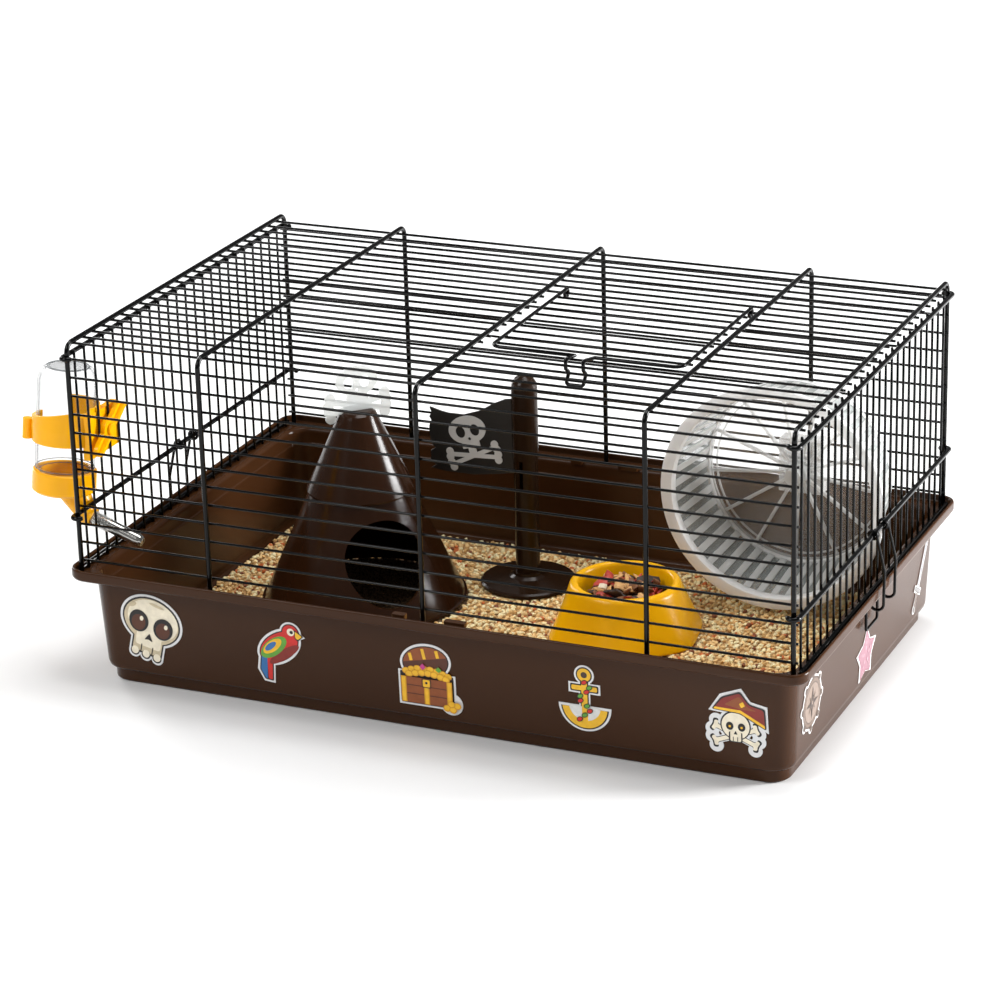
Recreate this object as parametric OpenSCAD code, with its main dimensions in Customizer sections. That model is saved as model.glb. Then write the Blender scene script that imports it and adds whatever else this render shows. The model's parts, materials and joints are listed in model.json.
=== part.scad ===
// Hamster cage: moulded tray, welded wire top with a roof door, spring clips, bottle, house,
// mast, bowl and wheel. Origin: centre of the tray's underside. X right, Y back, Z up.

/* [Tray] */
// Length of the rim, left to right
rim_l = 460; // [458:1:466]
// Width of the rim, front to back
rim_w = 293.4; // [292:0.2:298]
// Height of the lip's top above the ground
rim_z = 74.6; // [74:0.1:75]
// Thickness of the floor
floor_t = 2; // [1.5:0.1:3]
// Level of the bedding that the accessories stand on
bed_z = 11; // [9:0.5:13]

/* [Wire top] */
// Distance between the two end frames' centre lines
frame_l = 444; // [442:1:446]
// Distance between the frames' front and back legs
frame_w = 280.6; // [280:0.2:282]
// Height of the frames' roof wires above the ground
roof_z = 213.6; // [211:0.1:216]
// Diameter of the thick wires
thick_d = 3; // [2.8:0.1:3.2]
// Diameter of the thin bars
bar_d = 1.6; // [1.5:0.1:2]
// Spacing of the roof bars and the upright wires
bar_pitch = 11.35; // [11.2:0.05:11.5]
// Spacing of the front and back bars
row_pitch = 11.39; // [11.2:0.01:11.5]
// Height of the lowest front and back bar
row_z = 78.9; // [78:0.1:80]

/* [Roof door] */
// Left side of the door
door_left = 12; // [11:0.5:14]
// Right side of the door
door_right = 129; // [126:0.5:130]
// Diameter of the door's frame wire
door_d = 2.2; // [2:0.1:2.4]

/* [Wheel] */
// Outer radius of the wheel's front ring
wheel_r = 71.2; // [68:0.2:72]
// Height of the wheel's axle
wheel_z = 87.5; // [87:0.5:90]
// Length of the drum along its axle
wheel_w = 52; // [46:1:52]
// Number of slats round the drum
slat_n = 44; // [36:1:52]

/* [House] */
// Outer radius of the cone at the ground
house_r = 63.3; // [58:0.1:64]
// Height of the cone above the bedding
house_h = 122.5; // [110:0.5:124]
// Radius of the entrance
door_r = 25; // [22:0.5:26]

/* [Bottle] */
// Outer radius of the bottle
bottle_r = 18.1; // [17.5:0.1:18.3]
// Length of the bottle's body above its cap
bottle_h = 64; // [55:1:64]

/* [Hidden] */

// Tray section, measured in from the rim
corner_n = 8;
wall_top_in = 9.8;
wall_foot_in = 12.5;
foot_in = 16;
lip_t = 1.8;
shelf_z = 70.5;
rim_low_z = 67.3;
foot_z = 8.2;
wall_t = 2.1;

// Wire positions
thick_r = thick_d / 2;
bar_r = bar_d / 2;
weld = 0.1;
leg_y = frame_w / 2;
end_x = frame_l / 2;
inner_x = 136.5;
frame_bend = 6;
row_n = 12;
row_y = leg_y - thick_r - bar_r + weld;
roof_bar_z = roof_z - thick_r - bar_r + weld;
roof_n = 24;
row_half = end_x + thick_r + 0.6;
roof_half = end_x + thick_r + 1.4;
cross_x = end_x + thick_r * 2 + 0.05;
upright_x = cross_x - thick_r - bar_r + weld;
upright_top = roof_z - 6.1;
upright_low = shelf_z + 0.3;
top_wire_z = 205.3;
middle_wire_z = 106.5;
rim_wire_z = shelf_z + thick_r + 0.4;
hook_r = thick_d + 0.05;
hook_turn = 165;

// Roof door: bars 7 to 15 of the roof are cut for it, and bar 16 is its hinge
cut_first = 7;
cut_last = 15;
hinge_y = bar_y(cut_last + 1);
hinge_z = roof_bar_z;
door_front_y = bar_y(cut_first - 1);
hinge_loop_r = 2.5;
door_z = hinge_z + hinge_loop_r;
door_r_wire = door_d / 2;
door_bar_z = door_z - door_r_wire - bar_r + weld;
door_tip = 2.3;
cut_left = 2.4;
cut_right = inner_x - 1.3;
door_bend = 6;
// Catch tongue: its left and right side, its drop and how far it stands forward
catch_x = [61.2, 71.8];
catch_drop = 14;
catch_out = 6.6;
catch_kink = 3.1;

// Clips
clip_d = 1.8;
clip_y = 10.5;
clip_coil_r = thick_r + clip_d / 2 + 0.25;
clip_turns = 1.25;

// Wheel
wheel_c = [135.3, 70, wheel_z];
ring_t = 3;
ring_in = 6.9;
drum_back_r = 57.8;
drum_t = 1.6;
disc_t = 1.8;
hub_r = 7;
axle_r = 2.5;
run_gap = 0.05;
rib_n = 13;

// House
house_c = [-114, 17.5, bed_z];
house_turn = 44.5;
door_h = 37;
house_slope = 0.441;
house_t = 1.8;
seam_h = 71.5;
nest_h = 12;
roof_t = 1.5;
nest_gap = 0.15;
house_tip_r = house_r - house_slope * house_h + 3;

// Mast
mast_c = [-26, 71.6, bed_z];
mast_h = 137.4;
mast_joint = 83;
foot_r = 30;

// Bowl
bowl_c = [60, 20.5, bed_z];
bowl_h = 33;
bowl_rim_r = 33.6;
bowl_flat = 45.2;
bowl_corner = 48.6;
bowl_turn = 11;

// Bottle
bottle_c = [-246.7, -113.5, 110.8];
bottle_lean = [-6, 3];
cap_h = 13.4;
cap_r = 19.3;
spout_c = [-240, -113.5, 111.6];
tube_tilt = 19.7;
tube_mid = [-222.6, -113.5, 94];
tube_r = 3.9;
tube_bore = 3.25;
tube_front = 29;
tube_back = 11.2;
ball_r = 2.9;
stem_y = -102.15;
stem_z = 149.2;

// Stickers
sticker_t = 0.3;
front_tilt = 2.65;
side_tilt = 2.65;

// Helpers
function unit(v) = v / norm(v);
function bar_y(k) = (k - (roof_n - 1) / 2) * bar_pitch;
function perp(v) = abs(v[2]) < 0.9 ? unit(cross([0, 0, 1], v)) : unit(cross([1, 0, 0], v));
function tangent(p, i) =
  i == 0 ? unit(p[1] - p[0]) :
  i == len(p) - 1 ? unit(p[i] - p[i - 1]) :
  unit(unit(p[i + 1] - p[i]) + unit(p[i] - p[i - 1]));
// A vector square to the path at each point, carried along without twisting
function normals(p) = [
  for (i = 0, n = perp(tangent(p, 0)); i < len(p);
       i = i + 1, n = i < len(p) ? unit(n - tangent(p, i) * (n * tangent(p, i))) : n) n
];
// Arc about a centre in the plane of the unit vectors u and v, from angle a to angle b
function arc(c, u, v, r, a, b, n) = [
  for (i = [0 : n]) c + r * (u * cos(a + (b - a) * i / n) + v * sin(a + (b - a) * i / n))
];
// The arc that rounds corner v between points p and q
function corner(p, v, q, r, n) =
  let (a = unit(p - v), b = unit(q - v), w = acos(a * b), d = r / tan(w / 2),
       c = v + unit(a + b) * r / sin(w / 2), s = v + a * d - c, e = v + b * d - c, t = 180 - w)
  [for (i = [0 : n]) c + (s * sin(t * (1 - i / n)) + e * sin(t * i / n)) / sin(t)];
function rounded(p, r, n) = concat(
  [p[0]],
  [for (i = [1 : len(p) - 2]) each corner(p[i - 1], p[i], p[i + 1], r, n)],
  [p[len(p) - 1]]
);
// A bent round wire along points p
module tube(p, d, sides = 10) {
  nn = normals(p);
  pts = [
    for (i = [0 : len(p) - 1])
      let (t = tangent(p, i), n = nn[i], b = cross(t, n))
      for (k = [0 : sides - 1]) p[i] + d / 2 * (n * cos(360 * k / sides) + b * sin(360 * k / sides))
  ];
  skin(pts, len(p), sides);
}
// Closed surface over rings of equal count, capped at both ends
module skin(pts, rings, sides) {
  quads = [
    for (i = [0 : rings - 2], k = [0 : sides - 1])
      let (a = i * sides + k, b = i * sides + (k + 1) % sides)
      each [[a, a + sides, b + sides], [a, b + sides, b]]
  ];
  polyhedron(
    points = pts,
    faces = concat(
      quads,
      [[for (k = [0 : sides - 1]) k]],
      [[for (k = [sides - 1 : -1 : 0]) (rings - 1) * sides + k]]
    )
  );
}
// Outline of a rounded rectangle: half length, half width, corner radius and height
function ring(s) = [
  for (q = [0 : 3], i = [0 : corner_n])
    let (a = 90 * q + 90 * i / corner_n, cx = (q == 0 || q == 3 ? 1 : -1) * (s[0] - s[2]),
         cy = (q < 2 ? 1 : -1) * (s[1] - s[2]))
    [cx + s[2] * cos(a), cy + s[2] * sin(a), s[3]]
];
// Stack of rounded rectangles, each given as inset from the rim, corner radius and height
module stack(rows) {
  sides = 4 * (corner_n + 1);
  pts = [for (w = rows) each ring([rim_l / 2 - w[0], rim_w / 2 - w[0], w[1], w[2]])];
  skin(pts, len(rows), sides);
}
module bar_x(x0, x1, y, z) {
  translate([x0, y, z]) rotate([0, 90, 0]) cylinder(h = x1 - x0, r = bar_r, $fn = 24);
}

// Tray and bedding
module tray() {
  color([0.19, 0.13, 0.1]) stack([
    [foot_in + 1.2, 11, 0], [foot_in + 0.3, 12, 0.4], [foot_in, 12.5, 1.4],
    [foot_in - 0.2, 13, foot_z], [wall_foot_in + 1.6, 13.2, foot_z + 0.2],
    [wall_foot_in + 0.5, 13.8, foot_z + 1.2], [wall_foot_in - 0.1, 14, foot_z + 3.6],
    [wall_top_in, 14.2, rim_low_z - 0.4], [wall_top_in - 0.6, 14.2, rim_low_z],
    [2.4, 11, rim_low_z], [0.8, 10.8, rim_low_z + 0.7], [0, 10.8, rim_low_z + 2.6],
    [0, 10.8, rim_z - 0.7], [0.5, 10.6, rim_z], [lip_t - 0.3, 9.8, rim_z], [lip_t, 9.6, rim_z - 0.4],
    [lip_t + 0.3, 9.4, shelf_z], [wall_top_in + 0.4, 13.4, shelf_z],
    [wall_top_in + 1.6, 12.8, shelf_z - 0.9], [wall_top_in + wall_t + 0.2, 12.4, shelf_z - 3.2],
    [wall_foot_in + wall_t, 12.2, foot_z + 4.4], [wall_foot_in + wall_t + 0.9, 12, foot_z + 2.4],
    [wall_foot_in + wall_t + 2.3, 11.6, foot_z + 1.9], [foot_in + wall_t - 0.1, 11.2, foot_z + 1.5],
    [foot_in + wall_t, 11, foot_z], [foot_in + wall_t + 0.3, 10.8, floor_t + 1],
    [foot_in + wall_t + 1.3, 10.4, floor_t]
  ]);
}
module bedding() {
  color([0.82, 0.68, 0.48]) stack([
    [foot_in + wall_t + 1.6, 10, floor_t + 0.05], [foot_in + wall_t + 0.6, 10, floor_t + 1.4],
    [foot_in + wall_t + 0.4, 10, foot_z + 0.8], [foot_in + wall_t + 8, 9, bed_z - 0.4],
    [foot_in + wall_t + 20, 8, bed_z - 0.05]
  ]);
}

// Wire top
module u_frame(x) {
  color([0.06, 0.06, 0.06]) tube(rounded([
    [x, -leg_y, shelf_z + 0.02], [x, -leg_y, roof_z], [x, leg_y, roof_z], [x, leg_y, shelf_z + 0.02]
  ], frame_bend, 8), thick_d, 12);
}
module row_bars(side) {
  color([0.06, 0.06, 0.06])
    for (k = [0 : row_n - 1]) bar_x(-row_half, row_half, side * row_y, row_z + k * row_pitch);
}
module roof_bars() {
  color([0.06, 0.06, 0.06]) {
    for (k = [0 : roof_n - 1])
      if (k < cut_first || k > cut_last) bar_x(-roof_half, roof_half, bar_y(k), roof_bar_z);
    for (k = [cut_first : cut_last]) {
      bar_x(-roof_half, cut_left, bar_y(k), roof_bar_z);
      bar_x(cut_right, roof_half, bar_y(k), roof_bar_z);
    }
  }
}
module uprights(side) {
  color([0.06, 0.06, 0.06])
    for (k = [0 : roof_n - 1])
      translate([side * upright_x, bar_y(k), upright_low])
        cylinder(h = upright_top - upright_low, r = bar_r, $fn = 24);
}
// Cross wire of an end panel; its ends hook round the end frame's legs
module cross_wire(side, z) {
  front = arc([side * end_x, -leg_y, z], [side, 0, 0], [0, -1, 0], hook_r, hook_turn, 0, 10);
  back = arc([side * end_x, leg_y, z], [side, 0, 0], [0, 1, 0], hook_r, 0, hook_turn, 10);
  color([0.06, 0.06, 0.06]) tube(concat(front, back), thick_d, 12);
}
module rim_wire(side) {
  color([0.06, 0.06, 0.06]) translate([side * cross_x, -leg_y + 3, rim_wire_z]) rotate([-90, 0, 0])
    cylinder(h = 2 * leg_y - 6, r = thick_r, $fn = 24);
}

// Roof door
module door_frame() {
  loop_left = arc([door_left, hinge_y, hinge_z], [0, 1, 0], [0, 0, 1], hinge_loop_r, -190, 80, 16);
  loop_right = arc([door_right, hinge_y, hinge_z], [0, 1, 0], [0, 0, 1], hinge_loop_r, 80, -190, 16);
  y = door_front_y;
  out_y = y - catch_out;
  side = rounded([[door_left, hinge_y - 1, door_z], [door_left, y, door_z],
    [catch_x[0] + 1.5, y, door_z]], door_bend, 6);
  tongue = rounded([
    [catch_x[0] + 3, y, door_z], [catch_x[0], out_y, door_z - 0.3],
    [catch_x[0] - 0.2, out_y, door_z - 6], [catch_x[0] + 0.6, out_y + catch_kink, door_z - 9],
    [catch_x[0] - 0.4, out_y + 0.4, door_z - catch_drop - 1.6],
    [catch_x[1] - 0.4, out_y + 0.4, door_z - catch_drop - 1.6],
    [catch_x[1] + 0.4, out_y + catch_kink, door_z - 9], [catch_x[1], out_y, door_z - 6],
    [catch_x[1], out_y, door_z - 0.3], [catch_x[1] + 4.4, y, door_z]
  ], 1.8, 3);
  side_right = rounded([[catch_x[1] + 6.5, y, door_z], [door_right, y, door_z],
    [door_right, hinge_y - 1, door_z]], door_bend, 6);
  color([0.06, 0.06, 0.06]) tube(concat(loop_left, side, tongue, side_right, loop_right), door_d, 10);
}
module door_bars() {
  color([0.06, 0.06, 0.06])
    for (k = [cut_first : cut_last]) bar_x(door_left - door_tip, door_right + door_tip, bar_y(k), door_bar_z);
}

// Spring clip: coils on the middle cross wire, legs that bow out, hooks under the rim, pull loop
function clip_leg(s) =
  let (coil_n = 14, sweep = 360 * clip_turns,
       coil = [for (i = [0 : coil_n]) let (a = -sweep * (1 - i / coil_n))
         [cross_x + clip_coil_r * cos(a), s * (clip_y - 2 * (1 - i / coil_n) * clip_turns),
          middle_wire_z - clip_coil_r * sin(a)]],
       leg = rounded([[cross_x + clip_coil_r, s * clip_y, middle_wire_z - 1],
         [cross_x + clip_coil_r + 4.8, s * clip_y, 85], [cross_x + clip_coil_r + 4.5, s * clip_y, 70],
         [cross_x + clip_coil_r + 4.5, s * clip_y, 67]], 14, 5),
       hook = arc([cross_x + clip_coil_r + 0.5, s * clip_y, 64.8], [1, 0, 0], [0, 0, -1], 4, 0, 180, 8),
       turn = arc([cross_x + clip_coil_r - 4.7, s * clip_y, 64.8], [-1, 0, 0], [0, 0, 1], 1.2, 150, 0, 5),
       down = [[cross_x + clip_coil_r - 5.9, s * clip_y, 52]])
  concat(coil, leg, hook, turn, down);
module clip() {
  left = clip_leg(-1);
  right = clip_leg(1);
  x = cross_x + clip_coil_r - 5.9;
  pull = rounded([[x, -clip_y, 51], [x, -clip_y, 46.8], [x, clip_y, 46.8], [x, clip_y, 51]], 1.6, 4);
  color([0.06, 0.06, 0.06])
    tube(concat(left, pull, [for (i = [len(right) - 1 : -1 : 0]) right[i]]), clip_d, 8);
}

// Water bottle, hung upside down outside the left end panel and leaning back and inward
module leaning() {
  translate(bottle_c) rotate([bottle_lean[0], bottle_lean[1], 0]) children();
}
module bottle() {
  t = 1.2;
  r = bottle_r;
  h = cap_h + bottle_h;
  neck = 15.6;
  color([0.85, 0.93, 0.95, 0.4]) leaning() rotate_extrude($fn = 96) polygon([
    [neck - t, 3.4], [neck, 3.4], [neck, cap_h + 0.2], [r, cap_h + 1.6], [r, h - 9], [r - 1.2, h - 4],
    [r - 3.6, h - 1.2], [r - 6.4, h], [0, h], [0, h - t], [r - 6.8, h - t], [r - 4.3, h - 2.2],
    [r - 2.4, h - 4.8], [r - t, h - 9.2], [r - t, cap_h + 2.6], [neck - t, cap_h + 1.2]
  ]);
}
module along_tube() {
  translate(tube_mid) rotate([0, 90 + tube_tilt, 0]) children();
}
module bottle_cap() {
  color([1, 0.62, 0.03]) difference() {
    union() {
      leaning() rotate_extrude($fn = 96) polygon([
        [0, 0], [cap_r - 1.6, 0], [cap_r, 1.4], [cap_r, cap_h - 0.4], [cap_r - 0.5, cap_h],
        [16.4, cap_h], [16.4, 2], [0, 2]
      ]);
      translate(spout_c) rotate([0, 150, 0]) cylinder(h = 17, r1 = 9.4, r2 = 6.2, $fn = 48);
      along_tube() translate([0, 0, -15.4]) cylinder(h = 10, r = 6, $fn = 48);
    }
    leaning() translate([0, 0, 2]) cylinder(h = 20, r = 16.3, $fn = 96);
    translate(spout_c) rotate([0, 150, 0]) translate([0, 0, -4]) cylinder(h = 17, r = 3, $fn = 32);
    along_tube() translate([0, 0, -11.4]) cylinder(h = 8, r = tube_r + 0.02, $fn = 32);
  }
}
module cap_seal() {
  color([0.9, 0.9, 0.88]) leaning() translate([0, 0, 2.05]) difference() {
    cylinder(h = 1.3, r = 16.2, $fn = 64);
    translate([0, 0, -1]) cylinder(h = 4, r = 11.5, $fn = 64);
  }
}
module tube_sleeve() {
  color([0.9, 0.92, 0.9, 0.5]) along_tube() translate([0, 0, -5.3]) difference() {
    cylinder(h = 10.8, r = 4.6, $fn = 48);
    translate([0, 0, -1]) cylinder(h = 14, r = tube_r + 0.02, $fn = 48);
  }
}
module drinking_tube() {
  f = tube_front;
  color([0.72, 0.73, 0.72]) along_tube() rotate_extrude($fn = 48) polygon([
    [tube_bore, -tube_back], [tube_r, -tube_back], [tube_r, f - 3.5], [tube_r - 0.4, f - 1.6],
    [tube_r - 1.2, f], [tube_r - 1.75, f], [tube_r - 1.05, f - 1.7], [tube_bore, f - 3.2]
  ]);
}
module tube_ball() {
  color([0.75, 0.75, 0.75]) along_tube() translate([0, 0, tube_front - 2.45]) sphere(r = ball_r, $fn = 32);
}
// Band, cradle, outer plate and stem in one moulding
module bottle_holder() {
  in_r = bottle_r + 0.1;
  out_r = bottle_r + 2.1;
  color([1, 0.62, 0.03]) {
    leaning() difference() {
      union() {
        difference() {
          translate([0, 0, 31.5]) rotate([0, 0, -190]) rotate_extrude(angle = 250, $fn = 96)
            polygon([[in_r - 2, 0], [out_r, 0], [out_r + 0.5, 9], [out_r, 20.5], [in_r - 2, 20.5]]);
          translate([-40, -30, 41.6]) rotate([0, -12, 0]) cube([90, 60, 30]);
        }
        translate([0, 0, 28.5]) rotate([0, 0, -20]) rotate_extrude(angle = 135, $fn = 96)
          polygon([[in_r - 1, 0], [out_r - 0.4, 0], [out_r - 0.4, 26], [in_r - 1, 26]]);
        translate([-20.9, -9.2, 31.3]) cylinder(h = 12.4, r = 3, $fn = 32);
      }
      translate([0, 0, 10]) cylinder(h = 70, r = in_r, $fn = 96);
    }
    difference() {
      translate([-228.2, -119, 134]) cube([4.3, 35.5, 27]);
      leaning() translate([0, 0, 20]) cylinder(h = 50, r = in_r + 0.6, $fn = 96);
    }
    translate([-224.4, stem_y, stem_z]) rotate([0, 90, 0]) cylinder(h = 2.8, r = 3.6, $fn = 32);
    translate([-224.4, stem_y, stem_z]) rotate([0, 90, 0]) cylinder(h = 7.4, r = axle_r, $fn = 32);
    translate([-218.2, stem_y, stem_z]) rotate([0, 90, 0]) cylinder(h = 1.2, r = 3.6, $fn = 32);
  }
}
// Lock inside the cage: turned upright it passes between two wires, turned across it holds
module holder_lock() {
  color([1, 0.62, 0.03]) translate([-221.4, stem_y, stem_z]) rotate([-54, 0, 0]) difference() {
    union() {
      translate([0, -3.8, -16]) cube([2.8, 7.6, 32]);
      translate([0, 0, -16]) rotate([0, 90, 0]) cylinder(h = 2.8, r = 3.8, $fn = 48);
      translate([0, 0, 16]) rotate([0, 90, 0]) cylinder(h = 2.8, r = 3.8, $fn = 48);
      rotate([0, 90, 0]) cylinder(h = 2.8, r = 7, $fn = 48);
      translate([2, -1.1, 7]) cube([3.4, 2.2, 12]);
      translate([2, -1.1, -19]) cube([3.4, 2.2, 12]);
    }
    translate([-1, 0, 0]) rotate([0, 90, 0]) cylinder(h = 8, r = axle_r + run_gap, $fn = 48);
  }
}

// Cone house
module house_base() {
  top_h = seam_h + nest_h;
  r_top = house_r - house_slope * top_h;
  color([0.2, 0.13, 0.1]) translate(house_c + [0, 0, 0.05]) rotate([0, 0, house_turn]) difference() {
    rotate_extrude($fn = 96) polygon([
      [house_r - house_t, 0], [house_r + 0.6, 0], [house_r + 0.6, 1.6], [house_r - 0.7, 1.9],
      [r_top, top_h], [r_top - house_t, top_h], [house_r - house_t - 0.7, 1.9]
    ]);
    translate([0, -20, door_h]) rotate([90, 0, 0]) cylinder(h = 60, r = door_r, $fn = 96);
  }
}
module house_roof() {
  r0 = house_r - house_slope * seam_h + nest_gap;
  h = house_h - seam_h;
  tip = house_tip_r;
  color([0.2, 0.13, 0.1]) translate(house_c + [0, 0, seam_h + 0.05]) rotate([0, 0, house_turn]) difference() {
    rotate_extrude($fn = 96) polygon([
      [r0, 0], [r0 + roof_t, 0.2], [r0 + roof_t, 1.2], [tip, h - 3.6], [tip - 1, h - 1.6],
      [tip - 2.8, h - 0.3], [tip - 4.6, h], [0, h], [0, h - 1.8], [tip - 4.6, h - 1.8],
      [tip - 2.6, h - 3.9], [r0 - house_slope * (nest_h + 0.5), nest_h + 0.5]
    ]);
    translate([-14.5, -0.85, h - 6.2]) cube([29, 1.7, 12]);
  }
}
module rounded_bone(l, r) {
  translate([-l / 2, -r * 0.8]) square([l, 1.6 * r]);
  for (s = [-1, 1], t = [-1, 1]) translate([s * l / 2, t * r * 1.05]) circle(r = r * 1.5, $fn = 24);
}
// Plain skull above a pair of crossed bones, for the emblem and the flag
module skull_shape(s) {
  difference() {
    union() {
      translate([0, 6 * s]) scale([1.4, 1]) circle(r = 9 * s, $fn = 64);
      translate([-6 * s, -5.6 * s]) square([12 * s, 7 * s]);
    }
    for (m = [-1, 1]) translate([m * 4.9 * s, 5.2 * s]) scale([1, 1.2]) circle(r = 3.1 * s, $fn = 24);
    translate([0, 0.2 * s]) circle(r = 1 * s, $fn = 24);
  }
}
module crossed_bones(l, r, a) {
  for (m = [-1, 1]) rotate(m * a) rounded_bone(l, r);
}
module house_emblem() {
  h = house_h + 0.05;
  color([0.95, 0.97, 0.95, 0.6]) translate(house_c + [0, 0, h]) rotate([0, 0, house_turn]) rotate([90, 0, 0])
    translate([0, 0, -0.75]) linear_extrude(height = 1.5) {
      translate([-6.8, -5.6]) square([13.6, 14]);
      translate([0, 3]) crossed_bones(37, 2.2, 13);
      translate([0, 12.5]) skull_shape(1.06);
    }
}

// Mast: foot, slotted lower pole, upper pole with the flag
module mast_foot() {
  color([0.13, 0.09, 0.08]) translate(mast_c + [0, 0, 0.05]) difference() {
    rotate_extrude($fn = 96) polygon([
      [0, 0], [foot_r - 0.6, 0], [foot_r, 0.6], [foot_r, 2.2], [foot_r - 1.2, 3.2], [12, 5.2], [9.6, 6.6],
      [9.4, 8.2], [0, 8.2]
    ]);
    translate([0, 0, 3]) cylinder(h = 8, r = 6.6, $fn = 48);
  }
}
module mast_lower() {
  color([0.13, 0.09, 0.08]) translate(mast_c + [0, 0, 3.1]) difference() {
    union() {
      cylinder(h = 10, r = 6.5, $fn = 48);
      translate([0, 0, 5.3]) cylinder(h = mast_joint - 8.4, r = 7.7, $fn = 48);
      translate([0, 0, mast_joint - 4]) cylinder(h = 11, r = 5.4, $fn = 48);
    }
    translate([-1.2, -12, mast_joint - 23.1]) cube([2.4, 9.4, 20]);
    translate([-9, -0.75, mast_joint - 14]) cube([5.8, 1.5, 30]);
  }
}
module mast_upper() {
  h = mast_h - mast_joint;
  color([0.2, 0.13, 0.1]) translate(mast_c + [0, 0, mast_joint + 0.05]) difference() {
    rotate_extrude($fn = 64) polygon([
      [0, 0], [8.2, 0], [8.2, h - 8], [7.6, h - 4.6], [5.8, h - 1.8], [3, h - 0.3], [0, h]
    ]);
    translate([0, 0, -1]) cylinder(h = 12, r = 5.5, $fn = 48);
    translate([-9, -0.75, -1]) cube([5.8, 1.5, 39.2]);
  }
}
module on_flag(h) {
  translate(mast_c + [0, h, mast_joint + 0.05]) rotate([90, 0, 0]) children();
}
module mast_flag() {
  color([0.07, 0.08, 0.08]) on_flag(0.65) linear_extrude(height = 1.3) polygon([
    [-3.6, -10], [-3.6, 37.6], [-9, 37.8], [-13.4, 37], [-21.4, 33.2], [-29.6, 27.8], [-41.5, 23.7],
    [-52, 23.6], [-57, 24.4], [-64.5, 26.3], [-63.2, 23], [-64.8, 20], [-63.4, 17.6], [-65, 13.9],
    [-65, 10], [-64.2, 3], [-61, -0.4], [-64.6, -2.8], [-64.4, -9.4], [-61, -11.8], [-64.2, -14],
    [-54, -15.2], [-35, -15.2], [-20, -13]
  ]);
}
module flag_badge() {
  color([0.7, 0.7, 0.7]) on_flag(-0.67) linear_extrude(height = 0.4) {
    translate([-34.5, -2.4]) rotate(15) {
      crossed_bones(33, 1.7, 12);
      translate([0, 11]) skull_shape(1.02);
      translate([-2.6, 0]) square([5.2, 9]);
    }
  }
}

// Bowl: six soft-cornered sides that flare out to the foot from a round rim
function side_r(a) = min(bowl_flat / pow(cos(((a + 30) - 60 * floor((a + 30) / 60)) - 30), 0.9), bowl_corner);
function bowl_out(a, t) =
  let (w = pow(1 - t, 1.15))
  bowl_rim_r * (1 - w) + side_r(a) * w;
module bowl() {
  n = 60;
  outer = [for (t = [0, 0.05, 0.25, 0.5, 0.75, 0.92, 0.985, 1]) for (k = [0 : n - 1])
    let (a = 360 * k / n, r = bowl_out(a, t) - (t == 1 ? 2.2 : t > 0.95 ? 0.7 : 0))
    [r * cos(a), r * sin(a), t * bowl_h]];
  inner = [for (q = [[30.2, bowl_h], [28.9, bowl_h - 0.8], [28.2, bowl_h - 2.6], [25.8, 16], [22, 9], [15, 5.4]])
    for (k = [0 : n - 1]) [q[0] * cos(360 * k / n), q[0] * sin(360 * k / n), q[1]]];
  pts = concat(outer, inner);
  color([0.98, 0.72, 0.02]) translate(bowl_c + [0, 0, 0.05]) rotate([0, 0, bowl_turn])
    skin(pts, len(pts) / n, n);
}
module food() {
  color([0.6, 0.36, 0.2]) translate(bowl_c + [0, 0, 0.05]) rotate_extrude($fn = 48)
    polygon([[0, 5.6], [14.4, 5.6], [21.2, 9], [25.2, 16], [26, 20], [20, 24], [8, 26.5], [0, 27]]);
}

// Wheel: drum of slats, ribbed disc with the hub, axle and its bracket on the back wires
module wheel_place() {
  translate(wheel_c) rotate([-90, 0, 0]) children();
}
function drum_r(y) = wheel_r - ring_in + (drum_back_r - wheel_r + ring_in) * y / wheel_w;
module wheel_drum() {
  slope = atan((drum_r(0) - drum_r(wheel_w)) / wheel_w);
  slat_w = PI * drum_r(wheel_w / 2) / slat_n;
  color([0.95, 0.96, 0.97, 0.6]) wheel_place() {
    rotate_extrude($fn = 96) polygon([
      [wheel_r - ring_in, 0], [wheel_r, 0], [wheel_r, ring_t], [wheel_r - 1.4, ring_t],
      [wheel_r - 1.4, 1.5], [wheel_r - ring_in + drum_t, 1.5], [drum_r(6) + drum_t, 6], [drum_r(6), 6]
    ]);
    rotate_extrude($fn = 96) polygon([
      [drum_r(wheel_w - 3), wheel_w - 3], [drum_r(wheel_w - 3) + drum_t, wheel_w - 3],
      [drum_r(wheel_w) + drum_t, wheel_w], [drum_r(wheel_w), wheel_w]
    ]);
    for (k = [0 : slat_n - 1]) rotate([0, 0, 360 * k / slat_n])
      translate([drum_r(5.5) + 0.1, -slat_w / 2, 5.5]) rotate([0, -slope, 0])
        cube([drum_t - 0.2, slat_w, (wheel_w - 8) / cos(slope)]);
  }
}
module wheel_disc() {
  color([0.9, 0.93, 0.97, 0.5]) wheel_place() difference() {
    union() {
      translate([0, 0, wheel_w + 0.02]) cylinder(h = disc_t, r = drum_r(wheel_w) + drum_t, $fn = 96);
      translate([0, 0, wheel_w - 7]) cylinder(h = 8, r = hub_r, $fn = 48);
      for (k = [0 : rib_n - 1]) rotate([0, 0, 360 * (k + 0.3) / rib_n])
        translate([4, -0.9, wheel_w - 1.8]) cube([drum_r(wheel_w) - 5.2, 1.8, 2.6]);
    }
    translate([0, 0, wheel_w - 10]) cylinder(h = 20, r = axle_r + run_gap, $fn = 48);
  }
}
module wheel_axle() {
  color([0.75, 0.76, 0.78]) wheel_place()
    translate([0, 0, wheel_w - 11]) cylinder(h = 22.4, r = axle_r, $fn = 48);
}
module axle_cap() {
  color([0.92, 0.94, 0.96]) wheel_place() translate([0, 0, wheel_w - 12.4]) difference() {
    cylinder(h = 5, r = 5.2, $fn = 48);
    translate([0, 0, 1.38]) cylinder(h = 6, r = axle_r + 0.01, $fn = 48);
  }
}
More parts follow.
